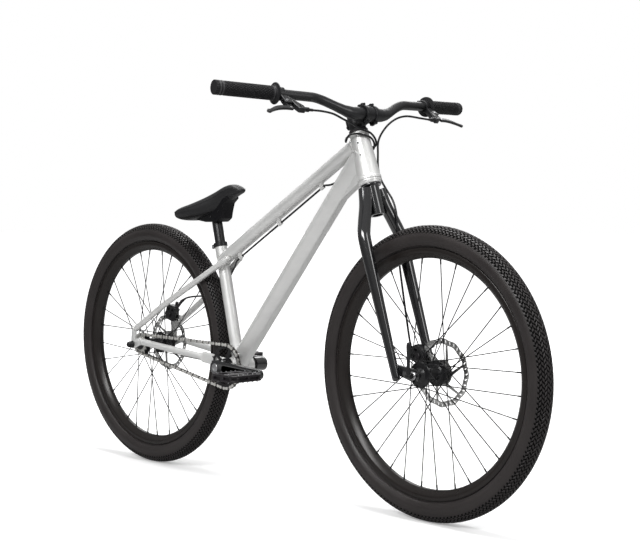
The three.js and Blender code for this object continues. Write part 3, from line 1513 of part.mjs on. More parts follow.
const silver = material(0xc4c7c9, 0.32, 0.9);
const steel = material(0xb4b6b8, 0.35, 1);
const glossBlack = material(0x1c1c1f, 0.25, 0.3);
const satinBlack = material(0x2a2a2c, 0.5, 0.4);
const blackPlastic = material(0x202022, 0.6, 0);
const rubber = material(0x3a393b, 0.85, 0);
const rimBlack = material(0x35302f, 0.45, 0.5);
const padding = material(0x3d3d3f, 0.8, 0);

// Assembly

function group(...children) {
  const holder = new THREE.Group();
  for (const child of children) holder.add(child);
  return holder;
}

function piece(name, body, surface) {
  const mesh = body.getMesh();
  const geometry = new THREE.BufferGeometry();
  geometry.setAttribute('position', new THREE.BufferAttribute(mesh.vertProperties, 3));
  geometry.setIndex(new THREE.BufferAttribute(mesh.triVerts, 1));
  geometry.computeVertexNormals();
  const node = new THREE.Mesh(geometry, surface);
  node.name = name;
  return node;
}

function mainFrame() {
  const head = group(
    piece('head_tube', headTube(), silver),
    piece('headset_upper_cup', upperCup(), glossBlack),
    piece('headset_lower_cup', lowerCup(), glossBlack),
  );
  head.position.copy(steerFoot);
  head.rotation.y = -steerLean;
  const brakeGroup = group(
    piece('rear_caliper', caliper(rearCaliper), satinBlack),
    piece('rear_caliper_arm', caliperArm(rearCaliper), satinBlack),
  );
  brakeGroup.position.copy(rearAxle);
  return group(
    head,
    brakeGroup,
    piece('top_tube', topTube(), silver),
    piece('down_tube', downTube(), silver),
    piece('seat_tube', seatTube(), silver),
    piece('bb_shell', bracketShell(), silver),
    piece('chainstay_right', chainstay(-1), silver),
    piece('chainstay_left', chainstay(1), silver),
    piece('seatstay_right', seatstay(-1), silver),
    piece('seatstay_left', seatstay(1), silver),
    piece('seat_clamp', seatClamp(), satinBlack),
    piece('bb_cup_right', bracketCup(-1), satinBlack),
    piece('bb_cup_left', bracketCup(1), satinBlack),
    piece('rear_axle', rearAxleSet(), satinBlack),
    piece('chain', chain(), steel),
    piece('rear_brake_cable', rearCable(), blackPlastic),
  );
}

function wheel(name, centre, sides) {
  const [rightPhase, leftPhase] = sides.phases.map((phase) => THREE.MathUtils.degToRad(phase));
  const holder = group(
    piece(`${name}_tyre`, tyre(), rubber),
    piece(`${name}_rim`, rim(), rimBlack),
    piece(`${name}_hub`, sides.hub, satinBlack),
    piece(`${name}_spokes_right`, spokes(-1, sides.right, rightPhase), satinBlack),
    piece(`${name}_spokes_left`, spokes(1, sides.left, leftPhase), satinBlack),
    piece(`${name}_rotor`, rotor(sides.rotor), steel),
  );
  holder.position.copy(centre);
  return holder;
}

function steeringParts() {
  const quick = group(piece('quick_release_lever', quickLever(), satinBlack));
  quick.position.set(0, -quickPivotSide, 0);
  const axleGroup = group(piece('front_skewer', frontSkewer(), steel), quick);
  axleGroup.position.set(forkRake, 0, 0);
  axleGroup.rotation.y = steerLean;
  const brakeGroup = group(
    piece('front_caliper', caliper(frontCaliper), satinBlack),
    piece('front_caliper_arm', caliperArm(frontCaliper), satinBlack),
  );
  brakeGroup.position.set(forkRake, 0, 0);
  const holder = group(
    axleGroup,
    brakeGroup,
    piece('fork_steerer', forkSteerer(), glossBlack),
    piece('fork_leg_right', forkLeg(-1), glossBlack),
    piece('fork_leg_left', forkLeg(1), glossBlack),
    piece('stem', stem(), satinBlack),
    piece('stem_faceplate', stemFaceplate(), satinBlack),
    piece('top_cap', topCap(), satinBlack),
    piece('handlebar', handlebar(), satinBlack),
    piece('grip_right', grip(-1), rubber),
    piece('grip_left', grip(1), rubber),
    piece('lever_perch_right', leverPerch(-1), satinBlack),
    piece('lever_perch_left', leverPerch(1), satinBlack),
    piece('brake_lever_right', brakeLever(-1), satinBlack),
    piece('brake_lever_left', brakeLever(1), satinBlack),
    piece('front_brake_cable', frontCable(), blackPlastic),
  );
  holder.position.copy(steerFoot);
  holder.rotation.y = -steerLean;
  return holder;
}

function crankset() {
  const holder = group(
    piece('chainring', chainring(), satinBlack),
    piece('crank_arm_right', crankArm(-1), satinBlack),
    piece('crank_arm_left', crankArm(1), satinBlack),
    piece('bb_spindle', spindle(), steel),
  );
  for (const [side, word] of [[-1, 'right'], [1, 'left']]) {
    const end = group(
      piece(`pedal_axle_${word}`, pedalAxle(side), steel),
      piece(`pedal_${word}`, pedal(side), blackPlastic),
    );
    end.position.set(-side * crankLength, 0, 0);
    end.rotation.y = -crankTurn;
    holder.add(end);
  }
  holder.position.copy(bracket);
  holder.rotation.y = crankTurn;
  return holder;
}

function seatAssembly() {
  const top = group(piece('saddle', saddle(), padding));
  top.position.copy(onSeat(seatHeadAlong));
  top.rotation.y = -saddleTilt;
  return group(piece('seatpost', seatpost(), satinBlack), top);
}

const rearDriver = { radius: driverRadius, end: driverEnd };
const rearSides = {
  hub: hub(rearFlangeRight, rearFlangeLeft, rearRotorSide, rearAxleWidth / 2, rearAxleRadius,
    rearDriver),
  right: rearFlangeRight, left: rearFlangeLeft, rotor: rearRotorSide, phases: rearSpokePhases,
};
const frontSides = {
  hub: hub(frontFlangeRight, frontFlangeLeft, frontRotorSide, frontAxleWidth / 2, skewerRadius,
    null),
  right: frontFlangeRight, left: frontFlangeLeft, rotor: frontRotorSide, phases: frontSpokePhases,
};
const cogHolder = group(piece('rear_cog', cog(), steel));
cogHolder.position.copy(rearAxle);

const bicycle = group(
  mainFrame(),
  steeringParts(),
  crankset(),
  seatAssembly(),
  cogHolder,
  wheel('rear', rearAxle, rearSides),
  wheel('front', frontAxle, frontSides),
);

export default bicycle;
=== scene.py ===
"""A dirt jump bicycle, dressed for the studio. +X forward, +Y the rider's left, +Z up."""
import json
import math

import bmesh
import bpy
from mathutils import Matrix, Vector


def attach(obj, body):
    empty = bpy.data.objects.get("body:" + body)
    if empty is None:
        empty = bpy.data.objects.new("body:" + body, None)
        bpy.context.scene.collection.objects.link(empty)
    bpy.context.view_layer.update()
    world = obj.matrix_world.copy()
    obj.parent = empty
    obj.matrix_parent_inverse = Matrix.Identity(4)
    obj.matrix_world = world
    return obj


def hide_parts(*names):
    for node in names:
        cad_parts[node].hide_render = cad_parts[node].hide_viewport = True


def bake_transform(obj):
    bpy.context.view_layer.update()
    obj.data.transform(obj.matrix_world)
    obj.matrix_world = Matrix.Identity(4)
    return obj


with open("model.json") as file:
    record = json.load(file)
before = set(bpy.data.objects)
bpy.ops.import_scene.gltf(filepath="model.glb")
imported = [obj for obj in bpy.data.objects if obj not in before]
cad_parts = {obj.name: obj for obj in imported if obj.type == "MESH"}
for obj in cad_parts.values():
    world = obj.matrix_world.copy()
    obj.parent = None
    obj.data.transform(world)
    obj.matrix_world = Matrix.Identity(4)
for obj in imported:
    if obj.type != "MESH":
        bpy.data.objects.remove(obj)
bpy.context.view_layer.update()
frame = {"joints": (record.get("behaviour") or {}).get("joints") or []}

MM = 0.001
X = Vector((1, 0, 0))
Y = Vector((0, 1, 0))
Z = Vector((0, 0, 1))
SIDES = ((-1, "right"), (1, "left"))
JOINTS = {joint["name"]: joint for joint in frame["joints"]}


# Places, in millimetres, from the joints of the frame

def joint_place(name):
    return Vector(JOINTS[name]["pos_m"]) / MM


def axes(x, y, z, place):
    """The matrix that carries X, Y and Z to three directions and the origin to a place."""
    matrix = Matrix((x, y, z)).transposed().to_4x4()
    matrix.translation = place
    return matrix


def shifted(*place):
    return Matrix.Translation(Vector(place))


rear_axle = joint_place("rear_wheel_spin")
front_axle = joint_place("front_wheel_spin")
bracket = joint_place("crank_spin")
steer_up = Vector(JOINTS["steer"]["axis"]).normalized()
seat_up = Vector(JOINTS["seatpost_slide"]["axis"]).normalized()
seat_back = Vector((-seat_up.z, 0, seat_up.x))
steer_foot = joint_place("steer")
steer_matrix = axes(Y.cross(steer_up), Y, steer_up, steer_foot)


def on_steer(forward, side, up):
    return steer_matrix @ Vector((forward, side, up))


def on_seat(along):
    return bracket + seat_up * along


# Flat shapes: lists of pairs

def polar(radius, angle):
    return radius * math.cos(angle), radius * math.sin(angle)


def turns(count):
    """Angles evenly spaced round a circle."""
    return [2 * math.pi * i / count for i in range(count)]


def between(start, end, steps):
    return [start + (end - start) * i / steps for i in range(steps + 1)]


def centred(cx, cz, points):
    return [(cx + x, cz + z) for x, z in points]


def circle(radius, sides=24, cx=0.0, cz=0.0):
    return centred(cx, cz, [polar(radius, angle) for angle in turns(sides)])


def arc(cx, cz, radius, start, end, steps):
    """Points of an arc; the angles are in degrees."""
    return centred(cx, cz, [polar(radius, math.radians(angle)) for angle in between(start, end, steps)])


def corner_arc(before, corner, after, radius, steps):
    before, corner, after = Vector(before), Vector(corner), Vector(after)
    reach = min(radius, 0.45 * (before - corner).length, 0.45 * (after - corner).length)
    start = corner + (before - corner).normalized() * reach
    end = corner + (after - corner).normalized() * reach
    return [tuple(start * (1 - t) ** 2 + corner * (2 * t * (1 - t)) + end * t ** 2)
            for t in between(0, 1, steps)]


def rounded(profile, radius, steps=3):
    """Rounds the inner corners of an open profile with arcs of about the radius."""
    out = [profile[0]]
    for before, corner, after in zip(profile, profile[1:], profile[2:]):
        out += corner_arc(before, corner, after, radius, steps)
    return out + [profile[-1]]


def rounded_loop(points, radius, steps=3):
    out = []
    for before, corner, after in zip(points[-1:] + points, points, points[1:] + points[:1]):
        out += corner_arc(before, corner, after, radius, steps)
    return out


def quadratic(start, control, end, steps=14):
    return [tuple((1 - t) ** 2 * a + 2 * t * (1 - t) * b + t * t * c for a, b, c in zip(start, control, end))
            for t in between(0, 1, steps)]


def tangents(x1, z1, r1, x2, z2, r2):
    """The heading from one circle to the next and the angle from it to their outer tangents."""
    heading = math.degrees(math.atan2(z2 - z1, x2 - x1))
    return heading, math.degrees(math.acos((r1 - r2) / math.hypot(x2 - x1, z2 - z1)))


def link(x1, z1, r1, x2, z2, r2, steps=12):
    """The outline round two circles and their outer tangents."""
    heading, spread = tangents(x1, z1, r1, x2, z2, r2)
    return (arc(x2, z2, r2, heading - spread, heading + spread, steps)
            + arc(x1, z1, r1, heading + spread, heading - spread + 360, steps))


def slotted_link(x1, z1, r1, x2, z2, r2, slot, opening):
    """A link whose second eye is open towards the opening, in degrees."""
    heading, spread = tangents(x1, z1, r1, x2, z2, r2)
    gap = math.degrees(math.asin(slot / r2))
    start = opening + gap
    while start > heading + spread:
        start -= 360
    while start < heading - spread:
        start += 360
    last = opening - gap + 360 * round((start - opening) / 360) + 360
    return (arc(x2, z2, r2, start, heading + spread, 8)
            + arc(x1, z1, r1, heading + spread, heading - spread + 360, 10)
            + arc(x2, z2, r2, heading - spread + 360, last, 8)
            + arc(x2, z2, slot, opening - 90, opening - 270, 10))


def eased(value, low, high):
    """0 below low, 1 above high, and a smooth step between them."""
    share = min(max((value - low) / (high - low), 0), 1)
    return share * share * (3 - 2 * share)


def squared(value, power):
    """A sine or cosine with its size raised to a power, which squares off a round section."""
    return math.copysign(abs(value) ** power, value)


# Mesh building: shapes are (points, faces) pairs in millimetres

def basis(centre, axis, hint=Y):
    z = axis.normalized()
    if abs(z.dot(hint)) > 0.99:
        hint = X
    x = (hint - z * hint.dot(z)).normalized()
    return axes(x, z.cross(x), z, centre)


def moved(shape, matrix):
    points, faces = shape
    return [matrix @ Vector(point) for point in points], faces


def merged(*shapes):
    points, faces = [], []
    for shape_points, shape_faces in shapes:
        start = len(points)
        points += list(shape_points)
        faces += [tuple(start + index for index in face) for face in shape_faces]
    return points, faces


def rings_to_shape(rings, closed=False):
    count, total = len(rings[0]), len(rings)
    faces = []
    for r in range(total if closed else total - 1):
        low, high = r * count, (r + 1) % total * count
        for i in range(count):
            j = (i + 1) % count
            faces.append((low + i, low + j, high + j, high + i))
    if not closed:
        faces.append(tuple(reversed(range(count))))
        faces.append(tuple(range((total - 1) * count, total * count)))
    return [point for ring in rings for point in ring], faces


def turned(profile, sides=48, centre=Vector(), axis=Z, closed=False):
    """Turns [radius, height] pairs about the line through centre along axis."""
    matrix = basis(Vector(centre), axis)
    return rings_to_shape([[matrix @ Vector((*point, height)) for point in circle(max(radius, 0.02), sides)]
                           for radius, height in profile], closed)


def rod(start, end, radius, sides=24, edge=0.6):
    """A straight round bar with small chamfers at both ends."""
    axis = end - start
    length = axis.length
    edge = min(edge, radius / 2, length / 3)
    return turned([(0, 0), (radius - edge, 0), (radius, edge), (radius, length - edge),
                   (radius - edge, length), (0, length)], sides, start, axis)


def catmull(points, step=4.0, closed=False):
    """A smooth centripetal curve through the points, sampled about every step."""
    points = [Vector(point) for point in points]
    if closed:
        ends = [points[-1]] + points + points[:2]
    else:
        ends = [2 * points[0] - points[1]] + points + [2 * points[-1] - points[-2]]
    out = []
    for p0, p1, p2, p3 in zip(ends, ends[1:], ends[2:], ends[3:]):
        t0 = 0.0
        t1 = t0 + max((p1 - p0).length, 1e-6) ** 0.5
        t2 = t1 + max((p2 - p1).length, 1e-6) ** 0.5
        t3 = t2 + max((p3 - p2).length, 1e-6) ** 0.5
        count = max(2, round((p2 - p1).length / step))
        for t in between(t1, t2, count)[:-1]:
            a1 = mixed(p0, p1, t0, t1, t)
            a2 = mixed(p1, p2, t1, t2, t)
            a3 = mixed(p2, p3, t2, t3, t)
            out.append(mixed(mixed(a1, a2, t0, t2, t), mixed(a2, a3, t1, t3, t), t1, t2, t))
    return out if closed else out + [points[-1]]


def mixed(a, b, start, end, t):
    return a * ((end - t) / (end - start)) + b * ((t - start) / (end - start))


def swept(points, section, closed=False, hint=Z):
    """Sweeps section(index) -> [(across, up), ...] along the points without twist."""
    points = [Vector(point) for point in points]
    count = len(points)
    rings = []
    up = hint
    for i, point in enumerate(points):
        ahead = points[(i + 1) % count if closed else min(i + 1, count - 1)]
        behind = points[i - 1 if closed else max(i - 1, 0)]
        tangent = (ahead - behind).normalized()
        up = (up - tangent * up.dot(tangent)).normalized()
        across = tangent.cross(up)
        rings.append([point + across * a + up * b for a, b in section(i)])
    return rings_to_shape(rings, closed)


def tube(points, radius, sides=24, closed=False):
    ring = circle(radius, sides)
    return swept(points, lambda index: ring, closed)


def ring_bead(centre, axis, radius, bead):
    matrix = basis(centre, axis)
    return tube([matrix @ Vector((*point, 0)) for point in circle(radius, 40)], bead, 8, closed=True)


def plate(outline, holes, low, high, bevel=0.8, matrix=Matrix()):
    """A flat plate parallel to the mid-plane, from an outline in X and Z, with softened edges."""
    data = bpy.data.curves.new("outline", "CURVE")
    data.dimensions = "2D"
    data.fill_mode = "BOTH"
    data.extrude = max((high - low) / 2 - bevel, 0.01)
    data.bevel_depth = bevel
    data.bevel_resolution = 1
    data.offset = -bevel
    for loop in [outline, *holes]:
        spline = data.splines.new("POLY")
        spline.points.add(len(loop) - 1)
        for point, (x, z) in zip(spline.points, loop):
            point.co = (x, z, 0, 1)
        spline.use_cyclic_u = True
    holder = bpy.data.objects.new("outline", data)
    bpy.context.scene.collection.objects.link(holder)
    bpy.context.view_layer.update()
    mesh = bpy.data.meshes.new_from_object(holder.evaluated_get(bpy.context.evaluated_depsgraph_get()))
    middle = (low + high) / 2
    points = [Vector((v.co.x, middle - v.co.z, v.co.y)) for v in mesh.vertices]
    faces = [tuple(face.vertices) for face in mesh.polygons]
    bpy.data.objects.remove(holder)
    bpy.data.curves.remove(data)
    bpy.data.meshes.remove(mesh)
    return moved((points, faces), matrix)


def side_plate(outline, holes, side, low, high, bevel=0.8, matrix=Matrix()):
    """A plate between two distances from the mid-plane, on the side given."""
    return plate(outline, holes, *sorted((side * low, side * high)), bevel, matrix)


def hit_cylinder(point, along, origin, axis, radius):
    """How far along a line its first meeting with a round tube lies."""
    p = point - origin
    p -= axis * p.dot(axis)
    t = along - axis * along.dot(axis)
    a, b = t.length_squared, p.dot(t)
    root = b * b - a * (p.length_squared - radius ** 2)
    return (-b - math.sqrt(root)) / a if root > 0 else -b / a


def coped(section, start, end, up, start_cut=None, end_cut=None, steps=1):
    """A straight bar of any section whose ends follow the round tubes that it meets."""
    along = (end - start).normalized()
    across = up.cross(along).normalized()
    up = along.cross(across)
    length = (end - start).length
    first, last = [], []
    for a, b in section:
        point = start + across * a + up * b
        near = hit_cylinder(point + along * length, -along, *start_cut) if start_cut else length
        far = hit_cylinder(point, along, *end_cut) if end_cut else length
        first.append(point + along * (length - near))
        last.append(point + along * far)
    return rings_to_shape([[a.lerp(b, share) for a, b in zip(first, last)] for share in between(0, 1, steps)])


bead_sides = 10
ripple_pitch = 3.2
ripple_depth = 0.16


def weld(section, start, end, up, cut, at_end, bead=2.4):
    """A bead of weld along the joint between a bar's end and the round tube that it meets."""
    grown = [(a * 1.02, b * 1.02) for a, b in section]
    ring = coped(grown, start, end, up, None if at_end else cut, cut if at_end else None)[0]
    path = catmull(ring[len(section):] if at_end else ring[:len(section)], 3.0, closed=True)
    points, faces = tube(path, bead, bead_sides, closed=True)
    for i, centre in enumerate(path):
        ripple = 1 + ripple_depth * math.cos(2 * math.pi * i * 3.0 / ripple_pitch)
        for k in range(i * bead_sides, (i + 1) * bead_sides):
            points[k] = centre + (points[k] - centre) * ripple
    return points, faces


# Pieces

def piece(name, shape, body, finish, replaces=(), slot=None, smooth=35.0, subdivide=0, offset=Vector()):
    """One named object that takes the material of its finish; a finish is its material with the slot that it
    usually fills, and the slot is not used here.
    """
    points, faces = shape
    mesh = bpy.data.meshes.new(name)
    mesh.from_pydata([tuple((Vector(point) + offset) * MM) for point in points], [], faces)
    mesh.validate()
    form = bmesh.new()
    form.from_mesh(mesh)
    bmesh.ops.remove_doubles(form, verts=form.verts, dist=0.00001)
    bmesh.ops.recalc_face_normals(form, faces=form.faces)
    limit = math.radians(smooth)
    for face in form.faces:
        face.smooth = True
    for edge in form.edges:
        if len(edge.link_faces) == 2 and edge.calc_face_angle(0) > limit:
            edge.smooth = False
    form.to_mesh(mesh)
    form.free()
    mesh.materials.append(finish[0])
    thing = bpy.data.objects.new(name, mesh)
    bpy.context.scene.collection.objects.link(thing)
    if subdivide:
        fine = thing.modifiers.new("subdivide", "SUBSURF")
        fine.levels = subdivide
        fine.render_levels = subdivide
    if body:
        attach(thing, body)
    if replaces:
        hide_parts(*replaces)
    return thing


def steer_piece(name, shape, finish, replaces=(), body="steering", **options):
    """A piece whose shape is given in the steering frame."""
    return piece(name, moved(shape, steer_matrix), body, finish, replaces, **options)


# Materials

def fill_node(tree, node, inputs):
    """Sets a node's inputs: an output socket is linked, any other value is written."""
    for name, value in inputs.items():
        if isinstance(value, bpy.types.NodeSocket):
            tree.links.new(value, node.inputs[name])
        else:
            node.inputs[name].default_value = value


def add_node(tree, kind, inputs=None, **settings):
    node = tree.nodes.new("ShaderNode" + kind)
    for name, value in settings.items():
        setattr(node, name, value)
    fill_node(tree, node, inputs or {})
    return node


noise_low, noise_high = 0.3, 0.7


def surface(name, slot, colour, roughness, metallic=0.0, grain=900.0, bump=0.05, spread=0.12, wander=0.06,
            coat=0.0, stretch=(1, 1, 1), specular=0.5, cells=0.0):
    """A procedural finish: fine grain in the bump, slow wandering of colour and roughness."""
    material = bpy.data.materials.new(name)
    material.use_nodes = True
    tree = material.node_tree
    place = add_node(tree, "TexCoord").outputs["Object"]
    stretched = add_node(tree, "Mapping", {"Vector": place, "Scale": stretch}).outputs["Vector"]
    fine = add_node(tree, "TexNoise", {"Vector": stretched, "Scale": grain, "Detail": 3.0}).outputs["Fac"]
    slow = add_node(tree, "TexNoise", {"Vector": place, "Scale": 9.0, "Detail": 4.0}).outputs["Fac"]
    both = add_node(tree, "Math", {0: fine, 1: slow}, operation="ADD").outputs[0]
    half = add_node(tree, "Math", {0: both, 1: 0.5}, operation="MULTIPLY").outputs[0]
    ramp = add_node(tree, "ValToRGB", {"Fac": half})
    for element, place_on, share in zip(ramp.color_ramp.elements, (noise_low, noise_high),
                                        (1 - spread, 1 + spread)):
        element.position = place_on
        element.color = (*[min(channel * share, 1.0) for channel in colour], 1)
    rough = add_node(tree, "MapRange", {"Value": slow, "From Min": noise_low, "From Max": noise_high,
                                        "To Min": max(roughness - wander, 0.02),
                                        "To Max": min(roughness + wander, 1.0)})
    shader = tree.nodes["Principled BSDF"]
    fill_node(tree, shader, {"Metallic": metallic, "Coat Weight": coat, "Coat Roughness": 0.08,
                             "Specular IOR Level": specular, "Base Color": ramp.outputs["Color"],
                             "Roughness": rough.outputs["Result"]})
    if bump:
        pebble = cells and add_node(tree, "TexVoronoi", {"Vector": place, "Scale": cells}).outputs["Distance"]
        relief = add_node(tree, "Bump", {"Strength": min(bump * 8, 1.0), "Distance": 0.001 * bump,
                                         "Height": pebble or fine})
        tree.links.new(relief.outputs["Normal"], shader.inputs["Normal"])
    return material, slot


bare_metal = surface("bare_metal", "clear_coated_frame", (0.77, 0.77, 0.76), roughness=0.42, metallic=0.5,
                     grain=60, bump=0.0, spread=0.05, coat=0.3, stretch=(0.25, 1, 1))
weld_metal = surface("weld_metal", "clear_coated_frame", (0.6, 0.6, 0.59), roughness=0.42, metallic=0.6,
                     grain=1400, bump=0.06, spread=0.08, wander=0.08, coat=0.4)
gloss_black = surface("gloss_black", "gloss_black_paint", (0.008, 0.008, 0.009), roughness=0.13, grain=350,
                      bump=0.0, spread=0.2, wander=0.03, coat=1.0)
satin_black = surface("satin_black", "satin_black", (0.012, 0.012, 0.013), roughness=0.3, grain=1500,
                      bump=0.03, spread=0.2, specular=0.4)
bar_black = surface("bar_black", "satin_black", (0.012, 0.012, 0.013), roughness=0.33, grain=1600,
                    bump=0.03, spread=0.15, wander=0.05, specular=0.45)
dark_plastic = surface("dark_plastic", "black_plastic", (0.013, 0.011, 0.013), roughness=0.42, grain=1300,
                       bump=0.08, spread=0.2, wander=0.08, specular=0.35)
tyre_rubber = surface("tyre_rubber", "tyre_rubber", (0.027, 0.023, 0.0225), roughness=0.42, grain=700,
                      bump=0.08, spread=0.3, wander=0.1, specular=0.3)
# Painted shade: a near-black, barely reflecting rubber for the band between the tread blocks, standing in for
# the shade in the gaps.
tyre_painted_shade = surface("tyre_painted_shade", "tyre_rubber", (0.004, 0.004, 0.004), roughness=0.8, spread=0.2,
                   specular=0.05)
tread_rubber = surface("tread_rubber", "tyre_rubber", (0.024, 0.021, 0.021), roughness=0.42, bump=0.1,
                       spread=0.3, specular=0.4)
rim_black = surface("rim_satin", "rim_black", (0.014, 0.011, 0.01), roughness=0.3, metallic=0.1,
                    grain=1200, bump=0.03, spread=0.15, specular=0.35)
spoke_black = surface("spoke_black", "satin_black", (0.006, 0.006, 0.007), roughness=0.34, bump=0.0,
                      spread=0.2, specular=0.3)
chain_steel = surface("chain_steel", "bare_steel", (0.82, 0.81, 0.78), roughness=0.3, metallic=0.9,
                      grain=1500, bump=0.03, spread=0.1, wander=0.1)
chain_dark = surface("chain_dark", "bare_steel", (0.16, 0.155, 0.15), roughness=0.35, metallic=1.0,
                     grain=1500, bump=0.03, spread=0.15, wander=0.1)
rotor_steel = surface("rotor_steel", "bare_steel", (0.6, 0.6, 0.59), roughness=0.28, metallic=1.0,
                      grain=1300, bump=0.04, spread=0.1, wander=0.08)
bolt_steel = surface("bolt_steel", "bare_steel", (0.45, 0.45, 0.46), roughness=0.3, metallic=1.0,
                     grain=1500, bump=0.04, spread=0.15, wander=0.08)
black_steel = surface("black_steel", "satin_black", (0.009, 0.009, 0.01), roughness=0.3, metallic=0.1,
                      grain=1300, bump=0.04, spread=0.2, wander=0.08, specular=0.4)
grip_rubber = surface("grip_rubber_black", "grip_rubber", (0.012, 0.012, 0.013), roughness=0.55,
                      grain=1300, bump=0.1, spread=0.2, specular=0.22)
grip_grey = surface("grip_grey", "grip_rubber", (0.045, 0.045, 0.047), roughness=0.55, grain=1300,
                    bump=0.08, spread=0.15, specular=0.3)
saddle_skin = surface("saddle_skin", "saddle_cover", (0.014, 0.014, 0.015), roughness=0.42, grain=1400,
                      bump=0.1, spread=0.2, specular=0.3, cells=900)
saddle_shell = surface("saddle_shell", "black_plastic", (0.004, 0.004, 0.005), roughness=0.42, grain=1100,
                       bump=0.08, spread=0.2, wander=0.08, specular=0.16)
cable_black = surface("cable_black", "black_plastic", (0.006, 0.006, 0.007), roughness=0.32, grain=1500,
                      bump=0.02, spread=0.2, specular=0.4)


# Camera, floor and light, fitted to the photograph's view

camera_place = (2.540846, -2.249033, 0.680286)
camera_yaw = 2.384881
camera_pitch = -0.053812
camera_roll = -0.003132
camera_lens = 75.279
camera_shift = (0.0, 0.028)
room_light = 0.34
white = (1, 1, 1, 1)
floor_half = 60.0
paper_lit = (0.4, 0.4, 0.4, 1)
paper_seen = (0.9, 0.9, 0.9, 1)
lift_near, lift_far = 0.26, 1.0
lift_from, lift_to = 1.2, 3.5


def make_camera():
    look = Vector((math.cos(camera_yaw) * math.cos(camera_pitch),
                   math.sin(camera_yaw) * math.cos(camera_pitch), math.sin(camera_pitch)))
    level = Vector((math.sin(camera_yaw), -math.cos(camera_yaw), 0))
    down = look.cross(level)
    right = level * math.cos(camera_roll) + down * math.sin(camera_roll)
    up = -(down * math.cos(camera_roll) - level * math.sin(camera_roll))
    data = bpy.data.cameras.new("camera")
    data.lens = camera_lens
    data.sensor_width = 36
    data.shift_x, data.shift_y = camera_shift
    camera = bpy.data.objects.new("camera", data)
    bpy.context.scene.collection.objects.link(camera)
    camera.matrix_world = axes(right, up, -look, camera_place)
    bpy.context.scene.camera = camera


def make_light(name, place, target, size, power):
    data = bpy.data.lights.new(name, "AREA")
    data.shape = "RECTANGLE"
    data.size, data.size_y = size
    data.energy = power
    lamp = bpy.data.objects.new(name, data)
    bpy.context.scene.collection.objects.link(lamp)
    lamp.location = place
    lamp.rotation_euler = (Vector(target) - Vector(place)).to_track_quat("-Z", "Y").to_euler()


def make_world():
    """Soft light all round, a room that grows lighter upwards in reflections, and white to the camera."""
    world = bpy.data.worlds.new("studio")
    bpy.context.scene.world = world
    world.use_nodes = True
    tree = world.node_tree
    soft = tree.nodes["Background"]
    fill_node(tree, soft, {"Color": white, "Strength": room_light})
    plain = add_node(tree, "Background", {"Color": white, "Strength": 1.0})
    rays = add_node(tree, "LightPath").outputs
    split = add_node(tree, "SeparateXYZ", {"Vector": add_node(tree, "TexCoord").outputs["Generated"]})
    rise = add_node(tree, "MapRange", {"Value": split.outputs["Z"], "From Min": -0.25, "From Max": 0.75,
                                       "To Min": 0.08, "To Max": 0.5})
    room = add_node(tree, "Background", {"Color": white, "Strength": rise.outputs["Result"]})
    gloss = add_node(tree, "MixShader", {"Fac": rays["Is Glossy Ray"], 1: soft.outputs["Background"],
                                         2: room.outputs["Background"]})
    seen = add_node(tree, "Math", {0: rays["Is Camera Ray"], 1: rays["Is Transmission Ray"]},
                    operation="MAXIMUM")
    mix = add_node(tree, "MixShader", {"Fac": seen.outputs[0], 1: gloss.outputs["Shader"],
                                       2: plain.outputs["Background"]})
    tree.links.new(mix.outputs["Shader"], tree.nodes["World Output"].inputs["Surface"])


def floor_surface():
    """Pale and matt; the camera sees it lifted to white outside the shadows."""
    material = bpy.data.materials.new("floor_paper")
    material.use_nodes = True
    tree = material.node_tree
    tree.nodes.remove(tree.nodes["Principled BSDF"])
    seen = add_node(tree, "LightPath").outputs["Is Camera Ray"]
    tone = add_node(tree, "Mix", {"Factor": seen, "A": paper_lit, "B": paper_seen}, data_type="RGBA")
    paper = add_node(tree, "BsdfDiffuse", {"Color": tone.outputs["Result"]})
    place = add_node(tree, "TexCoord").outputs["Object"]
    distance = add_node(tree, "VectorMath", {0: place}, operation="LENGTH").outputs["Value"]
    far = add_node(tree, "MapRange", {"Value": distance, "From Min": lift_from, "From Max": lift_to,
                                      "To Min": lift_near, "To Max": lift_far})
    lift = add_node(tree, "Emission", {"Strength": far.outputs["Result"]})
    none = add_node(tree, "Emission", {"Strength": 0.0})
    pick = add_node(tree, "MixShader", {"Fac": seen, 1: none.outputs["Emission"], 2: lift.outputs["Emission"]})
    both = add_node(tree, "AddShader", {0: paper.outputs["BSDF"], 1: pick.outputs["Shader"]})
    tree.links.new(both.outputs["Shader"], tree.nodes["Material Output"].inputs["Surface"])
    return material


def make_floor():
    mesh = bpy.data.meshes.new("floor")
    corners = [(x * floor_half, y * floor_half, 0) for x, y in ((-1, -1), (1, -1), (1, 1), (-1, 1))]
    mesh.from_pydata(corners, [], [(0, 1, 2, 3)])
    mesh.materials.append(floor_surface())
    floor = bpy.data.objects.new("floor", mesh)
    bpy.context.scene.collection.objects.link(floor)


bpy.context.scene.view_settings.view_transform = "Standard"
make_camera()
make_world()
make_floor()
make_light("top", (0, 0, 3.4), (0, 0, 0), (3.4, 0.9), 100)
make_light("key", (1.0, -3.4, 2.8), (0, 0, 0.5), (2.6, 1.0), 110)
make_light("fill", (3.8, 0.4, 2.0), (0, 0, 0.5), (1.2, 2.0), 30)
make_light("back", (-2.4, 3.0, 2.8), (0, 0, 0.5), (3.0, 1.6), 38)


# Wheels, about the axle, which lies along Y

tyre_radius = 336.5
tyre_half = 28.5
tread_depth = 1.6
tyre_centre = tyre_radius - tyre_half
casing_reach = tyre_half - tread_depth
rim_radius = 286.0
rim_inner = 262.0
wheel_sides = 180
spoke_count = 16
spokes_crossed = 3
spoke_radius = 1.25


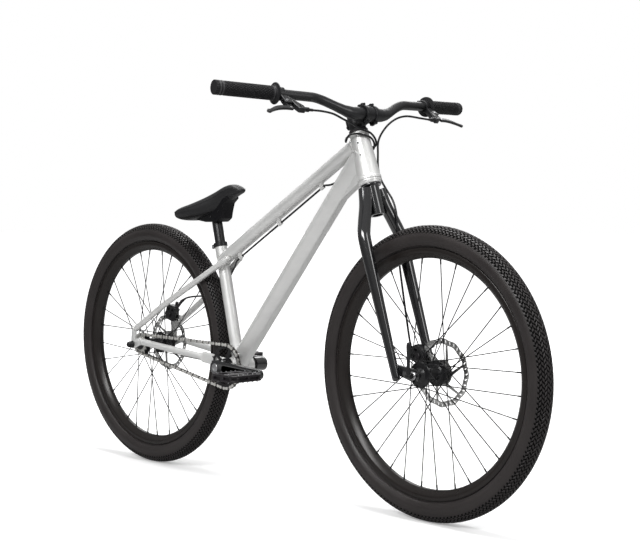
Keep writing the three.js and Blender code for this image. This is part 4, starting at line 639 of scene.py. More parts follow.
def tyre_shape():
    """The casing with its bead line and two moulded rings on the sidewall."""
    crown = casing_reach - 0.2
    outer = [(tyre_centre + rise, -across) for across, rise in
             (polar(crown, math.radians(angle)) for angle in between(-44, 224, 40))]
    lip = [(280.4, -13.2), (rim_radius + 1.2, -13.4), (rim_radius + 3.4, -14.6)]
    inner = [(281, 8.5), (300, 19), (tyre_centre + 12, 23), (tyre_radius - 6, 9)]
    section = lip + outer + [(radius, -side) for radius, side in lip] + inner
    section += [(radius, -side) for radius, side in reversed(inner)]
    profile = []
    for radius, side in section:
        lift = 0.0
        for ring, height in ((299.5, 0.55), (301.8, 0.4)):
            if abs(radius - ring) < 1.4 and abs(side) > 20:
                lift = height
        profile.append((radius, side + math.copysign(lift, side)))
    return turned(profile, wheel_sides, axis=Y, closed=True)


def tread_shade_band():
    """A near-black band under the blocks of the tread: painted shade that darkens the gaps between them."""
    reach = casing_reach - 0.1
    leans = [math.radians(lean) for lean in range(-64, 65, 8)]
    top = centred(tyre_centre, 0, [polar(reach, lean) for lean in leans])
    under = centred(tyre_centre, 0, [polar(reach - 0.4, lean) for lean in reversed(leans)])
    return turned(top + under, wheel_sides, axis=Y, closed=True)


knob_rows = (
    # angle from the crown, length along, width across, skew, height
    (0.0, 7.4, 5.4, 0.9, 1.5),
    (12.6, 7.2, 5.2, 1.0, 1.5),
    (25.2, 7.0, 5.2, -1.0, 1.5),
    (37.6, 6.8, 5.0, 1.0, 1.5),
    (49.4, 6.6, 4.8, -0.8, 1.45),
    (60.6, 6.2, 4.4, 0.5, 1.3),
)
knob_pitches = 184


def knob(turn, lean, along, across, skew, height):
    """One block of the tread, a sheared brick standing on the round casing."""
    top = casing_reach + height
    points = []
    for reach, shrink in ((casing_reach - 0.7, 1.0), (top - 0.35, 0.94), (top, 0.8)):
        for a, b in ((-1, -1), (1, -1), (1, 1), (-1, 1)):
            phi = math.radians(lean) + b * shrink * across / 2 / tyre_half
            theta = turn + (a * shrink * along / 2 + b * skew * across / 2) / tyre_radius
            x, z = polar(tyre_centre + reach * math.cos(phi), theta)
            points.append(Vector((x, reach * math.sin(phi), z)))
    faces = [(8, 9, 10, 11)]
    for low in (0, 4):
        faces += [(low + i, low + (i + 1) % 4, low + 4 + (i + 1) % 4, low + 4 + i) for i in range(4)]
    return points, faces


def tread_shape():
    knobs = []
    for row, (lean, along, across, skew, height) in enumerate(knob_rows):
        for i in range(knob_pitches):
            turn = 2 * math.pi * (i + 0.5 * (row % 2)) / knob_pitches
            if row:
                knobs.append(knob(turn, lean, along, across, skew, height))
                knobs.append(knob(turn, -lean, along, across, -skew, height))
            else:
                knobs.append(knob(turn, 0, along, across, skew if i % 2 else -skew, height))
    return merged(*knobs)


def rim_shape():
    side = [(rim_inner, 0.0), (rim_inner + 0.3, 4.5), (rim_inner + 2.4, 7.0), (273.5, 15.2), (276, 16.3),
            (280, 16.5), (285, 16.5), (286, 15.8), (286, 14.7), (285.2, 14.1), (279.9, 14.1), (279.4, 12.0),
            (276, 7.0), (275.6, 0.0)]
    outline = side + [(radius, -across) for radius, across in reversed(side[1:-1])]
    return turned(outline, wheel_sides, axis=Y, closed=True)


def wheel_point(radius, turn, side):
    x, z = polar(radius, turn)
    return Vector((x, side, z))


def spokes_shape(side, flange, phase):
    """Spokes from their bent heads in the flange to the nipples in the rim."""
    pitch = 2 * math.pi / spoke_count
    head_profile = [(0, -0.9), (2.0, -0.5), (2.2, 0), (1.0, 0.7)]
    nipple = [(0, -12.5), (1.35, -12.5), (1.9, -11.4), (1.9, -1.5), (2.5, 0.0), (2.5, 1.0), (0, 1.0)]
    parts = []
    for index in range(spoke_count):
        turn = math.radians(phase) + pitch * index
        lean = (-spokes_crossed if index % 2 else spokes_crossed) * pitch
        start = wheel_point(27, turn, side * flange)
        end = wheel_point(rim_inner, turn + lean, side * 2.0)
        out = Y * (side if index % 2 else -side)
        along = (end - start).normalized()
        head = start + out * 2.9
        bend = start + out * 1.7 + along * 1.6
        parts += [tube([head, head - out * 0.5, bend, bend + along * 4, end - along * 10.0], spoke_radius, 8),
                  turned(head_profile, 8, head, -out), turned(nipple, 8, end, along)]
    return merged(*parts)


def hub_shape(right, left, rotor_side, half, bore, driver):
    """The hub shell with drilled flanges, the rotor seat and, at the back, the sprocket driver."""
    end = 10.5
    face = rotor_side - 1.3
    right_part = ([(bore, -driver), (15.2, -driver), (16.9, -driver + 1.4), (16.9, -right - 4),
                   (20, -right - 2.4)]
                  if driver else [(bore, -half + 7.4), (end, -half + 7.4), (14.5, -right - 4),
                                  (17, -right - 2.2)])
    profile = right_part + [
        (29.2, -right - 1.7), (30, -right - 1), (30, -right + 1), (29.2, -right + 1.7), (18.5, -right + 2),
        (15.6, -right + 5), (14.2, -right + 12), (13.6, -8), (13.6, 4), (14.4, left - 9), (16.2, left - 4),
        (19.5, left - 2), (29.2, left - 1.7), (30, left - 1), (30, left + 1), (29.2, left + 1.7),
        (24, left + 2.2), (23.4, left + 4.5), (23.4, face - 1), (22.8, face), (20.6, face), (20.6, face + 3.4),
        (19.8, face + 4), (13, face + 4), (end, half - 7.4), (bore, half - 7.4)]
    return turned(profile, 64, axis=Y, closed=True)


def slot_loop(radius, turn, length, width, slant):
    """A rounded slot in the brake band, turned by slant from the radial direction."""
    heading = turn + slant
    cx, cz = polar(radius, turn)
    loop = []
    for side in (1, -1):
        dx, dz = polar(side * length / 2, heading)
        loop += centred(cx + dx, cz + dz, [polar(side * width / 2, angle) for angle in
                                           between(heading - math.pi / 2, heading + math.pi / 2, 5)])
    return loop


rotor_lobes = 12
rotor_arms = 6


def rotor_shape(side):
    """The wavy brake rotor: slotted band, six leaning arms and the bolted middle."""
    outer = [polar(78.6 + 1.35 * math.cos(rotor_lobes * angle), angle) for angle in turns(180)]
    holes = [slot_loop(72.8 + 1.1 * math.cos(rotor_lobes * turn), turn + 0.03, 5.2, 2.5, 0.5)
             for turn in turns(rotor_lobes * 3)]
    for start in turns(rotor_arms):
        end = start + 2 * math.pi / rotor_arms
        loop = [polar(30.5, angle) for angle in between(start + 0.16, end - 0.16, 6)]
        loop += [polar(65.6 + math.cos(rotor_lobes * angle), angle)
                 for angle in between(end + 0.28, start + 0.36, 12)]
        holes.append(rounded_loop(loop, 3.0, 2))
    return plate(outer, holes + [circle(21.0, 40)], side - 0.95, side + 0.95, 0.25)


def rotor_bolts_shape(side):
    profile = [(0, -1), (3.6, -1), (3.6, 1.4), (3.0, 2.2), (1.7, 2.2), (1.5, 1.1), (0, 1.1)]
    return merged(*[turned(profile, 16, wheel_point(25.6, turn + math.pi / rotor_arms, side + 0.9), Y)
                    for turn in turns(rotor_arms)])


def valve_shape(turn):
    profile = [(0, -2), (3.6, -2), (3.6, 1.2), (2.9, 2.0), (2.4, 4), (2.4, 22), (3.6, 22.6), (3.9, 24),
               (3.9, 33), (3.2, 35), (0, 35.4)]
    direction = wheel_point(1, turn, 0)
    return turned(profile, 16, direction * (rim_inner + 1), -direction)


def wheel(name, body, centre, right, left, phases, rotor_side, half, bore, driver, valve_turn):
    def add(suffix, shape, finish, node=None, **options):
        nodes = [f"{name}_{node}"] if node else ()
        piece(f"{name}_{suffix}", shape, body, finish, nodes, offset=centre, **options)

    add("casing", tyre_shape(), tyre_rubber, "tyre", smooth=50)
    add("tread", tread_shape(), tread_rubber, smooth=30)
    # Painted shade: the near-black band that darkens the gaps between the tread blocks.
    add("tread_shade_band", tread_shade_band(), tyre_painted_shade, smooth=60)
    add("rim_hoop", rim_shape(), rim_black, "rim")
    add("hub_shell", hub_shape(right, left, rotor_side, half, bore, driver), satin_black, "hub", smooth=28)
    add("spoke_set_right", spokes_shape(-1, right, phases[0]), spoke_black, "spokes_right")
    add("spoke_set_left", spokes_shape(1, left, phases[1]), spoke_black, "spokes_left")
    add("brake_rotor", rotor_shape(rotor_side), rotor_steel, "rotor", smooth=40)
    add("rotor_bolts", rotor_bolts_shape(rotor_side), black_steel, slot="bare_steel")
    add("valve", valve_shape(math.radians(valve_turn)), black_steel, slot="rim_black")


wheel("front", "front_wheel", front_axle, 34, 21, (5.5, 16.75), 39.7, 50, 4.8, None, 134)
wheel("rear", "rear_wheel", rear_axle, 34, 22, (3.5, 14.75), 52.2, 67.5, 5.3, 52, 45)


# Frame

head_bottom = 480.0
head_top = 596.0
top_tube_radius = 17.5
down_tube_radius = 24
top_rear = on_seat(281.8)
top_front = on_steer(0, 0, head_top - 20.3)
top_along = (top_front - top_rear).normalized()
top_down = Vector((top_along.z, 0, -top_along.x))
down_front = on_steer(0, 0, head_top - 49)
down_first = (down_front - bracket).normalized()
down_rear = bracket + Vector((-down_first.z, 0, down_first.x)) * 5.5
down_along = (down_front - down_rear).normalized()
down_up = Vector((-down_along.z, 0, down_along.x))
head_cut = (steer_foot, steer_up, 20.6)
head_skin = (steer_foot, steer_up, 24.0)
shell_skin = (bracket, Y, 21.6)
top_line = (top_rear, top_front, -top_down)
down_line = (down_rear, down_front, down_up)


def head_tube():
    side = [(28.7, head_bottom), (28.7, head_bottom + 5.4), (27.5, head_bottom + 7.4), (26.0, head_bottom + 40),
            (23.8, head_top - 40), (22.5, head_top - 7.4), (23.7, head_top - 5.4), (23.7, head_top)]
    profile = [(18.2, head_bottom)] + rounded(side, 2.0) + [(18.2, head_top)]
    return moved(turned(profile, 72, closed=True), steer_matrix)


def head_vents():
    """Two small plugged holes in the right side of the head tube."""
    plug = [(0, -1), (2.2, -1), (2.2, 0.3), (1.6, 0.5), (0, 0.3)]
    outward = Vector((0.42, -0.9, 0))
    parts = []
    for rise in (58, 88):
        radius = 27.5 - 5.0 * rise / (head_top - head_bottom)
        parts.append(turned(plug, 14, outward * radius + Z * (head_bottom + rise), outward))
    return moved(merged(*parts), steer_matrix)


def down_section():
    """Round above and a rounded trapezium below."""
    wide, low = down_tube_radius, 10
    flank = [polar(wide, math.radians(angle)) for angle in range(4, 180, 8)]
    left = corner_arc((-wide, 0), (-low, -wide), (low, -wide), 5.0, 4)
    right = corner_arc((-low, -wide), (low, -wide), (wide, 0), 5.0, 4)
    return flank + [(-23.6, -0.6)] + left + right + [(23.6, -0.6)]


def gusset():
    heel = down_front - down_up * 21.5 - down_along * 128
    corners = (heel, on_steer(-23.5, 0, head_bottom + 2.5), on_steer(-20, 0, head_top - 60))
    return plate([(corner.x, corner.z) for corner in corners], [], -11, 11, 3.0)


def seat_tube():
    profile = [(14.2, 14.3), (15.9, 14.3), (15.9, 329.4), (15.4, 330), (14.2, 330)]
    return turned(profile, 56, bracket, seat_up, closed=True)


def shell():
    half = 36.5
    profile = [(18.4, -half), (20.7, -half), (21.5, -half + 0.8), (21.5, half - 0.8), (20.7, half),
               (18.4, half)]
    return turned(profile, 64, bracket, Y, closed=True)


chainstay_route = ((-500, 68.2, 346), (-420, 61.7, 338), (-340, 55.0, 330), (-268, 49.2, 323),
                   (-238, 44.6, 320.0), (-214, 39.8, 316), (-192, 35.6, 311.5), (-172, 29.6, 307),
                   (-160, 26.5, 304.5))
seatstay_route = ((-519, 68.5, 378.5), (-463.2, 65, 411.2), (-385, 60.6, 457), (-299.9, 45, 506.8),
                  (-215, 30, 556.6), (-170, 19, 583))
stay_radius = 9
yoke_start, yoke_end = -252, -242
yoke_half_width = 4.9
yoke_half_height = 14.6


def on_side(side, route):
    return [(x, side * y, z) for x, y, z in route]


def stay_section(x):
    """Round at the back, then a step to the tall, narrow plate that passes the tyre."""
    share = eased(x, yoke_start, yoke_end)
    half_width = stay_radius + (yoke_half_width - stay_radius) * share
    half_height = stay_radius + (yoke_half_height - stay_radius) * share
    power = 1 - 0.38 * share
    return [(half_width * squared(c, power), half_height * squared(s, power)) for c, s in circle(1, 36)]


def chainstay(side):
    path = catmull(on_side(side, chainstay_route), 4)
    return swept(path, lambda index: stay_section(path[index].x))


def dropout(side):
    """The axle plate: a link to the chainstay, slotted to the rear, and an arm up to the seatstay."""
    place = Matrix.Translation(rear_axle)
    outline = slotted_link(28, 9, 10.6, 0, 0, 12.0, 5.4, 180)
    arm = link(1.0, 12, 9.4, 4, 42, 7.6)
    return merged(side_plate(outline, [], side, 67.8, 74.5, 1.2, place),
                  side_plate(arm, [], side, 68.2, 74.1, 1.2, place))


def seatstay(side):
    path = catmull(on_side(side, seatstay_route), 6)
    path.append(path[-1] + (path[-1] - path[-2]).normalized() * 3)
    last = len(path) - 1
    wide, narrow = circle(8.0, 32), circle(6.2, 32)
    return swept(path, lambda index: wide if index / last < 0.97 else narrow)


def brake_mount():
    """The brace between the left stays and the plate that carries the rear brake."""
    corners = centred(rear_axle.x + 21, rear_axle.z, [(-26, 46), (28, 62), (22, 78), (-22, 78)])
    foot = rear_axle + Vector((75, 63, 6))
    return merged(plate(rounded_loop(corners, 5.0), [], 60.2, 65.8, 1.0), tube([foot, foot + Z * 78], 5.0))


def stay_beads():
    beads = []
    for side, _ in SIDES:
        along = Vector((43, side * -10.6, 25)).normalized()
        low_along = Vector((56, side * -3.5, 32)).normalized()
        beads += [ring_bead(Vector((-172, side * 19.4, 582)) + along * 1.0, along, 7.2, 1.9),
                  ring_bead(Vector((-516, side * 68.4, 380.5)), low_along, 7.6, 1.5),
                  ring_bead(Vector((-484, side * 67, 344.4)), Vector((1, side * -0.08, -0.1)), 8.6, 1.7)]
    return merged(*beads)


guide_places = (166.6, 12, -141)
cable_drop = 27.0


def under_top_tube(x):
    start = top_rear + top_down * cable_drop
    return start + top_along * ((x - start.x) / top_along.x)


def cable_guides():
    """Small eyes welded under the top tube, each on a short foot."""
    ring = [(2.9, -6.3), (4.6, -6.3), (5.0, -5.7), (5.0, 5.7), (4.6, 6.3), (2.9, 6.3)]
    corners = ((-3, -5.5), (3, -5.5), (3, 5.5), (-3, 5.5))
    parts = []
    for x in guide_places:
        centre = under_top_tube(x)
        matrix = basis(centre, top_along)
        parts.append(turned(ring, 24, centre, top_along, closed=True))
        parts.append(rings_to_shape([[matrix @ Vector((a * wide, rise, along)) for a, along in corners]
                                     for rise, wide in ((3.6, 1.0), (7.0, 1.0), (10.4, 1.5))]))
    return merged(*parts)


def make_frame():
    def add(name, shape, *nodes, finish=bare_metal, **options):
        piece(name, shape, "frame", finish, nodes, **options)

    add("head_tube_body", head_tube(), "head_tube")
    add("head_tube_plugs", head_vents(), finish=black_steel)
    round_bar = circle(top_tube_radius, 56)
    section = down_section()
    add("top_tube_body", coped(round_bar, *top_line, (bracket, seat_up, 15.0), head_cut, 6), "top_tube")
    add("down_tube_body", coped(section, *down_line, (bracket, Y, 20.0), head_cut, 6), "down_tube", smooth=30)
    add("down_tube_gusset", gusset())
    add("seat_tube_body", seat_tube(), "seat_tube")
    add("bracket_shell", shell(), "bb_shell")
    for side, word in SIDES:
        add(f"chainstay_tube_{word}", chainstay(side), f"chainstay_{word}")
        add(f"dropout_{word}", dropout(side), smooth=30)
        add(f"seatstay_tube_{word}", seatstay(side), f"seatstay_{word}")
    add("rear_brake_mount", brake_mount())
    add("cable_guides", cable_guides())
    beads = [weld(round_bar, *top_line, (bracket, seat_up, 16.4), False),
             weld(round_bar, *top_line, head_skin, True),
             weld(section, *down_line, head_skin, True),
             weld(section, *down_line, shell_skin, False),
             weld(circle(15.9, 48), bracket, on_seat(300), X, shell_skin, False, 2.0),
             stay_beads()]
    add("frame_welds", merged(*beads), finish=weld_metal, smooth=60)


make_frame()


# Headset, fork and stem, in the steering frame

fork_rake = 47.7
stem_foot = 604.3
stem_top = 644.3
stem_middle = (stem_foot + stem_top) / 2
bar_height = 628.3
stem_reach = 40.0
clamp_bore = 16.3
ear_side = 14
axle_matrix = steer_matrix @ shifted(fork_rake, 0, 0)


def hexagon(flat, angle):
    """How far from its middle a hexagon's edge lies at an angle."""
    return flat / math.cos(angle % (math.pi / 3) - math.pi / 6)


def cap_bolt(place, axis, radius=2.9, height=3.4):
    """A cap head with a hexagonal socket."""
    profile = [(0, -1.2), (radius, -1.2), (radius, height - 0.5), (radius - 0.5, height),
               (radius * 0.58, height), (radius * 0.54, height - 0.5), (radius * 0.5, height * 0.35),
               (0.02, height * 0.3)]
    matrix = basis(Vector(place), Vector(axis))
    rings = []
    for r, h in profile:
        in_socket = h < height and r < radius * 0.57
        ring = [polar(hexagon(0.95 * r, angle) if in_socket else r, angle) for angle in turns(24)]
        rings.append([matrix @ Vector((*point, h)) for point in ring])
    return rings_to_shape(rings)


def fork_crown():
    profile = [(12.6, 393), (17.0, 393), (18.0, 394), (18.0, 461), (19.5, 463), (24.0, 463.4), (24.4, 464),
               (24.4, 467), (24, 467.9), (14.3, 467.9), (14.3, 641.6), (12.6, 641.6)]
    return turned(profile, 64, closed=True)


leg_route = ((0, 24, 456), (0, 33, 418), (0, 50, 375), (0, 60, 346), (0, 62, 314), (0, 62, 240), (0, 62, 160),
             (0, 62, 80), (0, 62, 6))


def fork_leg(side):
    path = catmull(on_side(side, leg_route), 7)
    radii = [15.0 if point.z > 322 else 9.5 + 5.5 * (point.z - 5) / 317 for point in path] + [8.8, 6.2, 2.6]
    path += [path[-1] - Z * drop for drop in (3.4, 5.6, 6.6)]
    body = swept(path, lambda index: circle(radii[index], 44), hint=X)
    eye = slotted_link(2, 26, 11.3, fork_rake, 0, 15, 4.9, 270)
    parts = [body, side_plate(eye, [], side, 50.3, 57.3, 1.2)]
    if side > 0:
        parts.append(plate(link(0, 71, 9.5, 26, 71, 8.4), [circle(2.7, 16, 26, 71)], 49.4, 55.2, 1.0))
    return merged(*parts)


def fork_beads():
    return merged(*[ring_bead(Vector((0, side * 22.6, 432)), Vector((0, side * 1.0, 0.22)), 13.2, 2.0)
                    for side, _ in SIDES])


def upper_cup():
    return turned([(14.8, 596.3), (23.6, 596.3), (23.9, 597), (23.6, 598.2), (23.0, 598.8), (22.9, 602.8),
                   (22.3, 604), (14.8, 604)], 56, closed=True)


def lower_cup():
    return turned([(14.8, 468.3), (25.8, 468.3), (26.3, 469), (26.6, 473), (26.0, 473.7), (26.9, 474.6),
                   (27.3, 479), (27.0, 479.7), (14.8, 479.7)], 56, closed=True)


def stem_body():
    ring = turned([(14.7, stem_foot), (19.2, stem_foot), (20, stem_foot + 0.8), (20, stem_top - 0.8),
                   (19.2, stem_top), (14.7, stem_top)], 56, closed=True)
    rib = rounded_loop([(8, stem_middle - 15.5), (24, bar_height - 15), (24, bar_height + 14),
                        (8, stem_middle + 15)], 2.0)
    lug = rounded_loop(centred(0, stem_middle, [(-24, -13), (-14, -13), (-14, 13), (-24, 13)]), 3)
    return merged(ring, plate(rib, [], -15.5, 15.5, 3.0), plate(lug, [], -12, 12, 2.0), *clamp_half(False))


def clamp_half(front):
    """Half of the bar clamp: two outer bands, a lower middle and the ears for the bolts."""
    first, last = (-86.0, 86.0) if front else (94.0, 266.0)
    centre = stem_reach + (0.6 if front else 0.0)
    parts = []
    for low, high, outer in ((-20, -9.5, 21.4), (-10, 10, 19.6), (9.5, 20, 21.4)):
        outline = (arc(centre, bar_height, outer, first, last, 24)
                   + arc(centre, bar_height, clamp_bore, last, first, 24))
        parts.append(plate(outline, [], low, high))
    near = stem_reach + (1.4 if front else -0.6)
    far = near + (7.5 if front else -8.5)
    for up in (-1, 1):
        for side, _ in SIDES:
            ear = rounded_loop([(near, bar_height + up * 17.5), (far, bar_height + up * 17.5),
                                (far, bar_height + up * 25.4), (near, bar_height + up * 25.4)], 2.0)
            parts.append(plate(ear, [], side * ear_side - 4.6, side * ear_side + 4.6, 1.0))
    return parts


def stem_bolts():
    bolts = [cap_bolt((stem_reach + 8.6, side * ear_side, bar_height + up * 21.6), X, 3.1, 3.2)
             for up in (-1, 1) for side, _ in SIDES]
    bolts += [cap_bolt((-20, side * 12, stem_middle + side * 7), (0, side, 0), 2.9, 2.6) for side, _ in SIDES]
    return merged(*bolts, cap_bolt((0, 0, 648.2), Z, 3.4, 1.4))


def top_cap():
    return turned([(0, 644.6), (17, 644.6), (17, 646.4), (15.6, 648.4), (5.6, 648.5), (5.0, 647.4),
                   (0, 647.4)])


bar_half = 401
grip_start = 250
bar_thin = 11.1
bar_stations = ((0, 15.9), (38, 15.9), (56, 14.4), (78, 12.0), (96, bar_thin))


def bar_point(y):
    share = eased(abs(y), 38, 158)
    beyond = max(0.0, abs(y) - 158)
    return Vector((stem_reach - 14.4 * share - beyond * math.tan(math.radians(9.6)), y,
                   bar_height + 38.5 * share + beyond * math.tan(math.radians(5.3))))


def bar_radius(y):
    for (a, ra), (b, rb) in zip(bar_stations, bar_stations[1:]):
        if abs(y) <= b:
            return ra + (rb - ra) * eased(abs(y), a, b)
    return bar_thin


def handlebar():
    path = [bar_point(y) for y in between(-bar_half, bar_half, 200)]
    return swept(path, lambda index: circle(bar_radius(path[index].y), 40))


def bar_direction(side):
    return (bar_point(side * bar_half) - bar_point(side * grip_start)).normalized()


def grip_radius(t, angle):
    """The grip's surface: a rounded flange, a waffle of raised diamonds and plain bands at the ends."""
    if t < 3.2:
        return 25.0 - 0.9 * (abs(t - 1.6) / 1.6) ** 3
    if t < 6.5:
        return 16.2 + 5.0 * math.exp(-(t - 3.2) * 1.1)
    if 15 < t < 134:
        u = (t - 15) / 8.5
        w = angle * 9 / math.pi
        a = abs((u + w) % 2 - 1)
        b = abs((u - w) % 2 - 1)
        depth = min(a, b, 1 - a, 1 - b)
        return 15.3 + 1.15 * min(max((depth - 0.07) / 0.09, 0), 1)
    if t > 150:
        return 16.2 + 0.45 * math.cos(24 * angle)
    return 16.1


grip_places = ([0.0, 0.4, 1.0, 1.6, 2.2, 2.8, 3.2, 3.7, 4.4, 5.4, 6.6, 9, 14.4, 15.1]
               + [15.7 + 0.85 * i for i in range(139)]
               + [134.4, 137, 149.6, 150.1, 150.6, 156.2, 156.8, 157.0])


def grip(side):
    matrix = basis(bar_point(side * grip_start), bar_direction(side), X)
    rings = []
    for t in grip_places:
        pinch = 0.93 if t > 156.5 else (0.96 if t < 0.2 else 1.0)
        ring = [polar(grip_radius(t, angle) * pinch, angle) for angle in turns(144)]
        rings.append([matrix @ Vector((*point, t)) for point in ring])
    return rings_to_shape(rings)


def grip_bands(side):
    bands = []
    for low, high, radius in ((8.2, 11.6, 16.55), (137.6, 140.6, 16.7), (144.4, 147.6, 16.7)):
        profile = [(15.4, low), (radius - 0.3, low), (radius, low + 0.4), (radius, high - 0.4),
                   (radius - 0.3, high), (15.4, high)]
        bands.append(turned(profile, 64, bar_point(side * grip_start), bar_direction(side), closed=True))
    return merged(*bands)


def make_front():
    steer_piece("crown_and_steerer", fork_crown(), gloss_black, ["fork_steerer"])
    steer_piece("fork_crown_welds", fork_beads(), gloss_black, smooth=60)
    for side, word in SIDES:
        steer_piece(f"fork_blade_{word}", fork_leg(side), gloss_black, [f"fork_leg_{word}"], smooth=40)
        steer_piece(f"grip_sleeve_{word}", grip(side), grip_rubber, [f"grip_{word}"], smooth=32)
        steer_piece(f"grip_bands_{word}", grip_bands(side), grip_grey)
    steer_piece("upper_headset_cup", upper_cup(), dark_plastic, ["headset_upper_cup"], "frame",
                slot="gloss_black_paint")
    steer_piece("lower_headset_cup", lower_cup(), bare_metal, ["headset_lower_cup"], "frame")
    steer_piece("stem_block", stem_body(), satin_black, ["stem"], smooth=30)
    steer_piece("stem_front_plate", merged(*clamp_half(True)), satin_black, ["stem_faceplate"], smooth=30)
    steer_piece("stem_bolts", stem_bolts(), black_steel, smooth=30)
    steer_piece("stem_cap", top_cap(), satin_black, ["top_cap"])
    steer_piece("bar_tube", handlebar(), bar_black, ["handlebar"])


make_front()


# Brake levers: reach runs from the bar towards the fingers, along runs outwards on the bar

lever_place = 239
lever_drop = math.radians(52.8)
lever_pivot = 37
lever_cable = 62


def lever_frame(side):
    outward = bar_direction(side)
    reach = Vector((math.cos(lever_drop), 0, -math.sin(lever_drop)))
    reach = (reach - outward * reach.dot(outward)).normalized()
    return axes(reach, outward, reach.cross(outward), bar_point(side * lever_place))


def lever_plane(side):
    """The same frame turned so that a flat plate's outline runs in reach and along."""
    matrix = lever_frame(side)
    return axes(matrix.col[0].xyz, -matrix.col[2].xyz, matrix.col[1].xyz, matrix.translation)


def cable_barrel(side):
    """The grooved adjuster where the cable enters the lever's mount."""
    profile = [(0, 17.6), (5.2, 17.6), (5.5, 18.4), (5.5, 36.2), (4.6, 36.9), (4.6, 37.6), (5.4, 38.2)]
    for i in range(5):
        low = 38.2 + 1.5 * i
        profile += [(5.4, low + 0.9), (4.8, low + 1.1), (4.8, low + 1.35), (5.4, low + 1.5)]
    profile += [(4.6, 46.4), (3.5, 47.8), (0, 47.8)]
    return turned(profile, 32, lever_frame(side) @ Vector((lever_cable, 0, 0)), -bar_direction(side))


def perch(side):
    ring = [(11.3, -6.5), (14.8, -6.5), (15.5, -5.8), (15.5, 5.8), (14.8, 6.5), (11.3, 6.5)]
    back = rounded_loop([(12, 6.4), (12, -6.4), (29, -18), (55, -35), (69, -35), (69, -18), (52, -12.4),
                         (27, -12.4), (26.6, 7)], 2.5)
    cheek = rounded_loop([(24, 7.5), (24, -12.6), (46, -12.6), (46, 7.8), (30, 7.8)], 4.0)
    rib = rounded_loop([(19, -9.6), (34, -18.4), (55, -31), (57.5, -28.4), (36, -15.6), (22, -7.6)], 0.9)
    lug = rounded_loop([(-20.5, -5.6), (-13, -5.6), (-13, 5.6), (-20.5, 5.6)], 2.0)
    layers = ((back, [circle(2.6, 18, 60, -25)], -6.5, 6.5, 1.8), (rib, [], -7.3, 7.3, 0.6),
              (cheek, [], -6.5, -3.5, 0.7), (cheek, [], 3.5, 6.5, 0.7), (lug, [], -6.0, -0.8, 1.0),
              (lug, [], 0.8, 6.0, 1.0))
    return merged(turned(ring, 56, bar_point(side * lever_place), bar_direction(side), closed=True),
                  *[plate(*layer, lever_plane(side)) for layer in layers], cable_barrel(side))


def perch_bolts(side):
    matrix = lever_frame(side)
    normal = matrix.col[2].xyz
    return merged(cap_bolt(matrix @ Vector((lever_pivot, 0, 6.2)), normal, 3.4, 1.6),
                  cap_bolt(matrix @ Vector((lever_pivot, 0, -6.2)), -normal, 3.4, 1.6),
                  cap_bolt(matrix @ Vector((-17, 0, 5.8)), normal, 2.9, 2.6),
                  cap_bolt(matrix @ Vector((58, -9.5, 3.0)), matrix.col[0].xyz, 2.0, 1.0))


def brake_blade(side):
    """The blade: a root round the pivot, a hollow for the fingers and a tip that turns away."""
    outline = arc(lever_pivot, 0, 6.4, 90, 270, 10) + [(56, -5), (66.2, -4.9), (67.3, -3.6)]
    outline += quadratic((67.5, 0), (65.5, 33), (87.4, 62.0))[:-1]
    outline += arc(84, 66, 5.3, -44, 203, 19)
    outline += quadratic((78.9, 62.4), (51.5, 33), (56.5, 6.2))[1:]
    waist = rounded_loop([(44, -2.6), (53, -2.4), (53, 2.4), (44, 2.6)], 2.0)
    return plate(outline, [circle(2.7, 20, lever_pivot, 0), waist], -3.0, 3.0, 1.3, lever_plane(side))


def lever_anchor(side):
    """The round anchor that holds the cable's end in the lever."""
    ends = [lever_frame(side) @ Vector((lever_cable, 0, depth)) for depth in (-3.6, 3.6)]
    return rod(*ends, 2.6, 20)


def make_levers():
    for side, word in SIDES:
        lever = f"lever_{word}"
        steer_piece(f"lever_mount_{word}", perch(side), satin_black, [f"lever_perch_{word}"], smooth=32)
        steer_piece(f"lever_bolts_{word}", perch_bolts(side), bolt_steel, smooth=30)
        steer_piece(f"lever_blade_{word}", brake_blade(side), satin_black, [f"brake_lever_{word}"], lever,
                    smooth=32)
        steer_piece(f"lever_anchor_{word}", lever_anchor(side), bolt_steel, (), lever, smooth=32)


make_levers()


# Disc brakes, about the axle that carries them; places are [forward, side, up] from it

caliper_width = 19
pad_gap = 2.1


def brake(direction, reach, rotor, outer, pivot, arm, start, end, foot):
    """The measures of one brake, with the plane in which its caliper lies."""
    outward = Vector((direction[0], 0, direction[1])).normalized()
    return dict(plane=axes(Y.cross(outward), Y, outward, outward * reach), rotor=rotor, outer=outer,
                inner=outer - caliper_width, pivot=pivot, arm=arm, start=Vector(start), end=Vector(end),
                foot=Vector(foot), along=(Vector(end) - Vector(start)).normalized())


rear_brake = brake((0.24, 0.97), 87, 52.2, 57.6, (21, 91.5), (25.5, 111.5), (44, 61, 115), (54, 61, 120),
                   (36, 52, 97))
front_brake = brake((-0.7, 0.714), 79, 39.7, 49, (-75, 53), (-91, 57), (-88.4, 51.6, 73), (-87.2, 51.6, 84),
                    (-69, 43.5, 66))


def caliper_body(spec):
    plane, low, rotor, outer = spec["plane"], spec["inner"], spec["rotor"], spec["outer"]
    cheek = rounded_loop([(-17, -21.8), (17, -21.8), (19.8, -8), (19.8, 4), (-19.8, 4), (-19.8, -8)], 5)
    bridge = rounded_loop([(-19.8, -3), (19.8, -3), (19.8, 8), (13, 21.8), (-13, 21.8), (-19.8, 8)], 4)
    vents = [rounded_loop(centred(x, 0, [(-3.4, 5), (3.4, 5), (2.6, 14), (-2.6, 14)]), 1.6) for x in (-8, 8)]
    window = rounded_loop([(-8, -15), (8, -15), (8, -7), (-8, -7)], 2.4)
    boss = [(0, 0), (5.2, 0), (5.2, 15.6), (4.6, 16.4), (0, 16.4)]
    return merged(plate(cheek, [], low, rotor - pad_gap, 1.8, plane),
                  plate(cheek, [window], rotor + pad_gap, outer, 0.9, plane),
                  plate(bridge, vents, low + 0.4, outer - 0.4, 1.8, plane),
                  *[turned(boss, 24, plane @ Vector((end, low + 1.4, 12)), Y) for end in (-15, 15)])


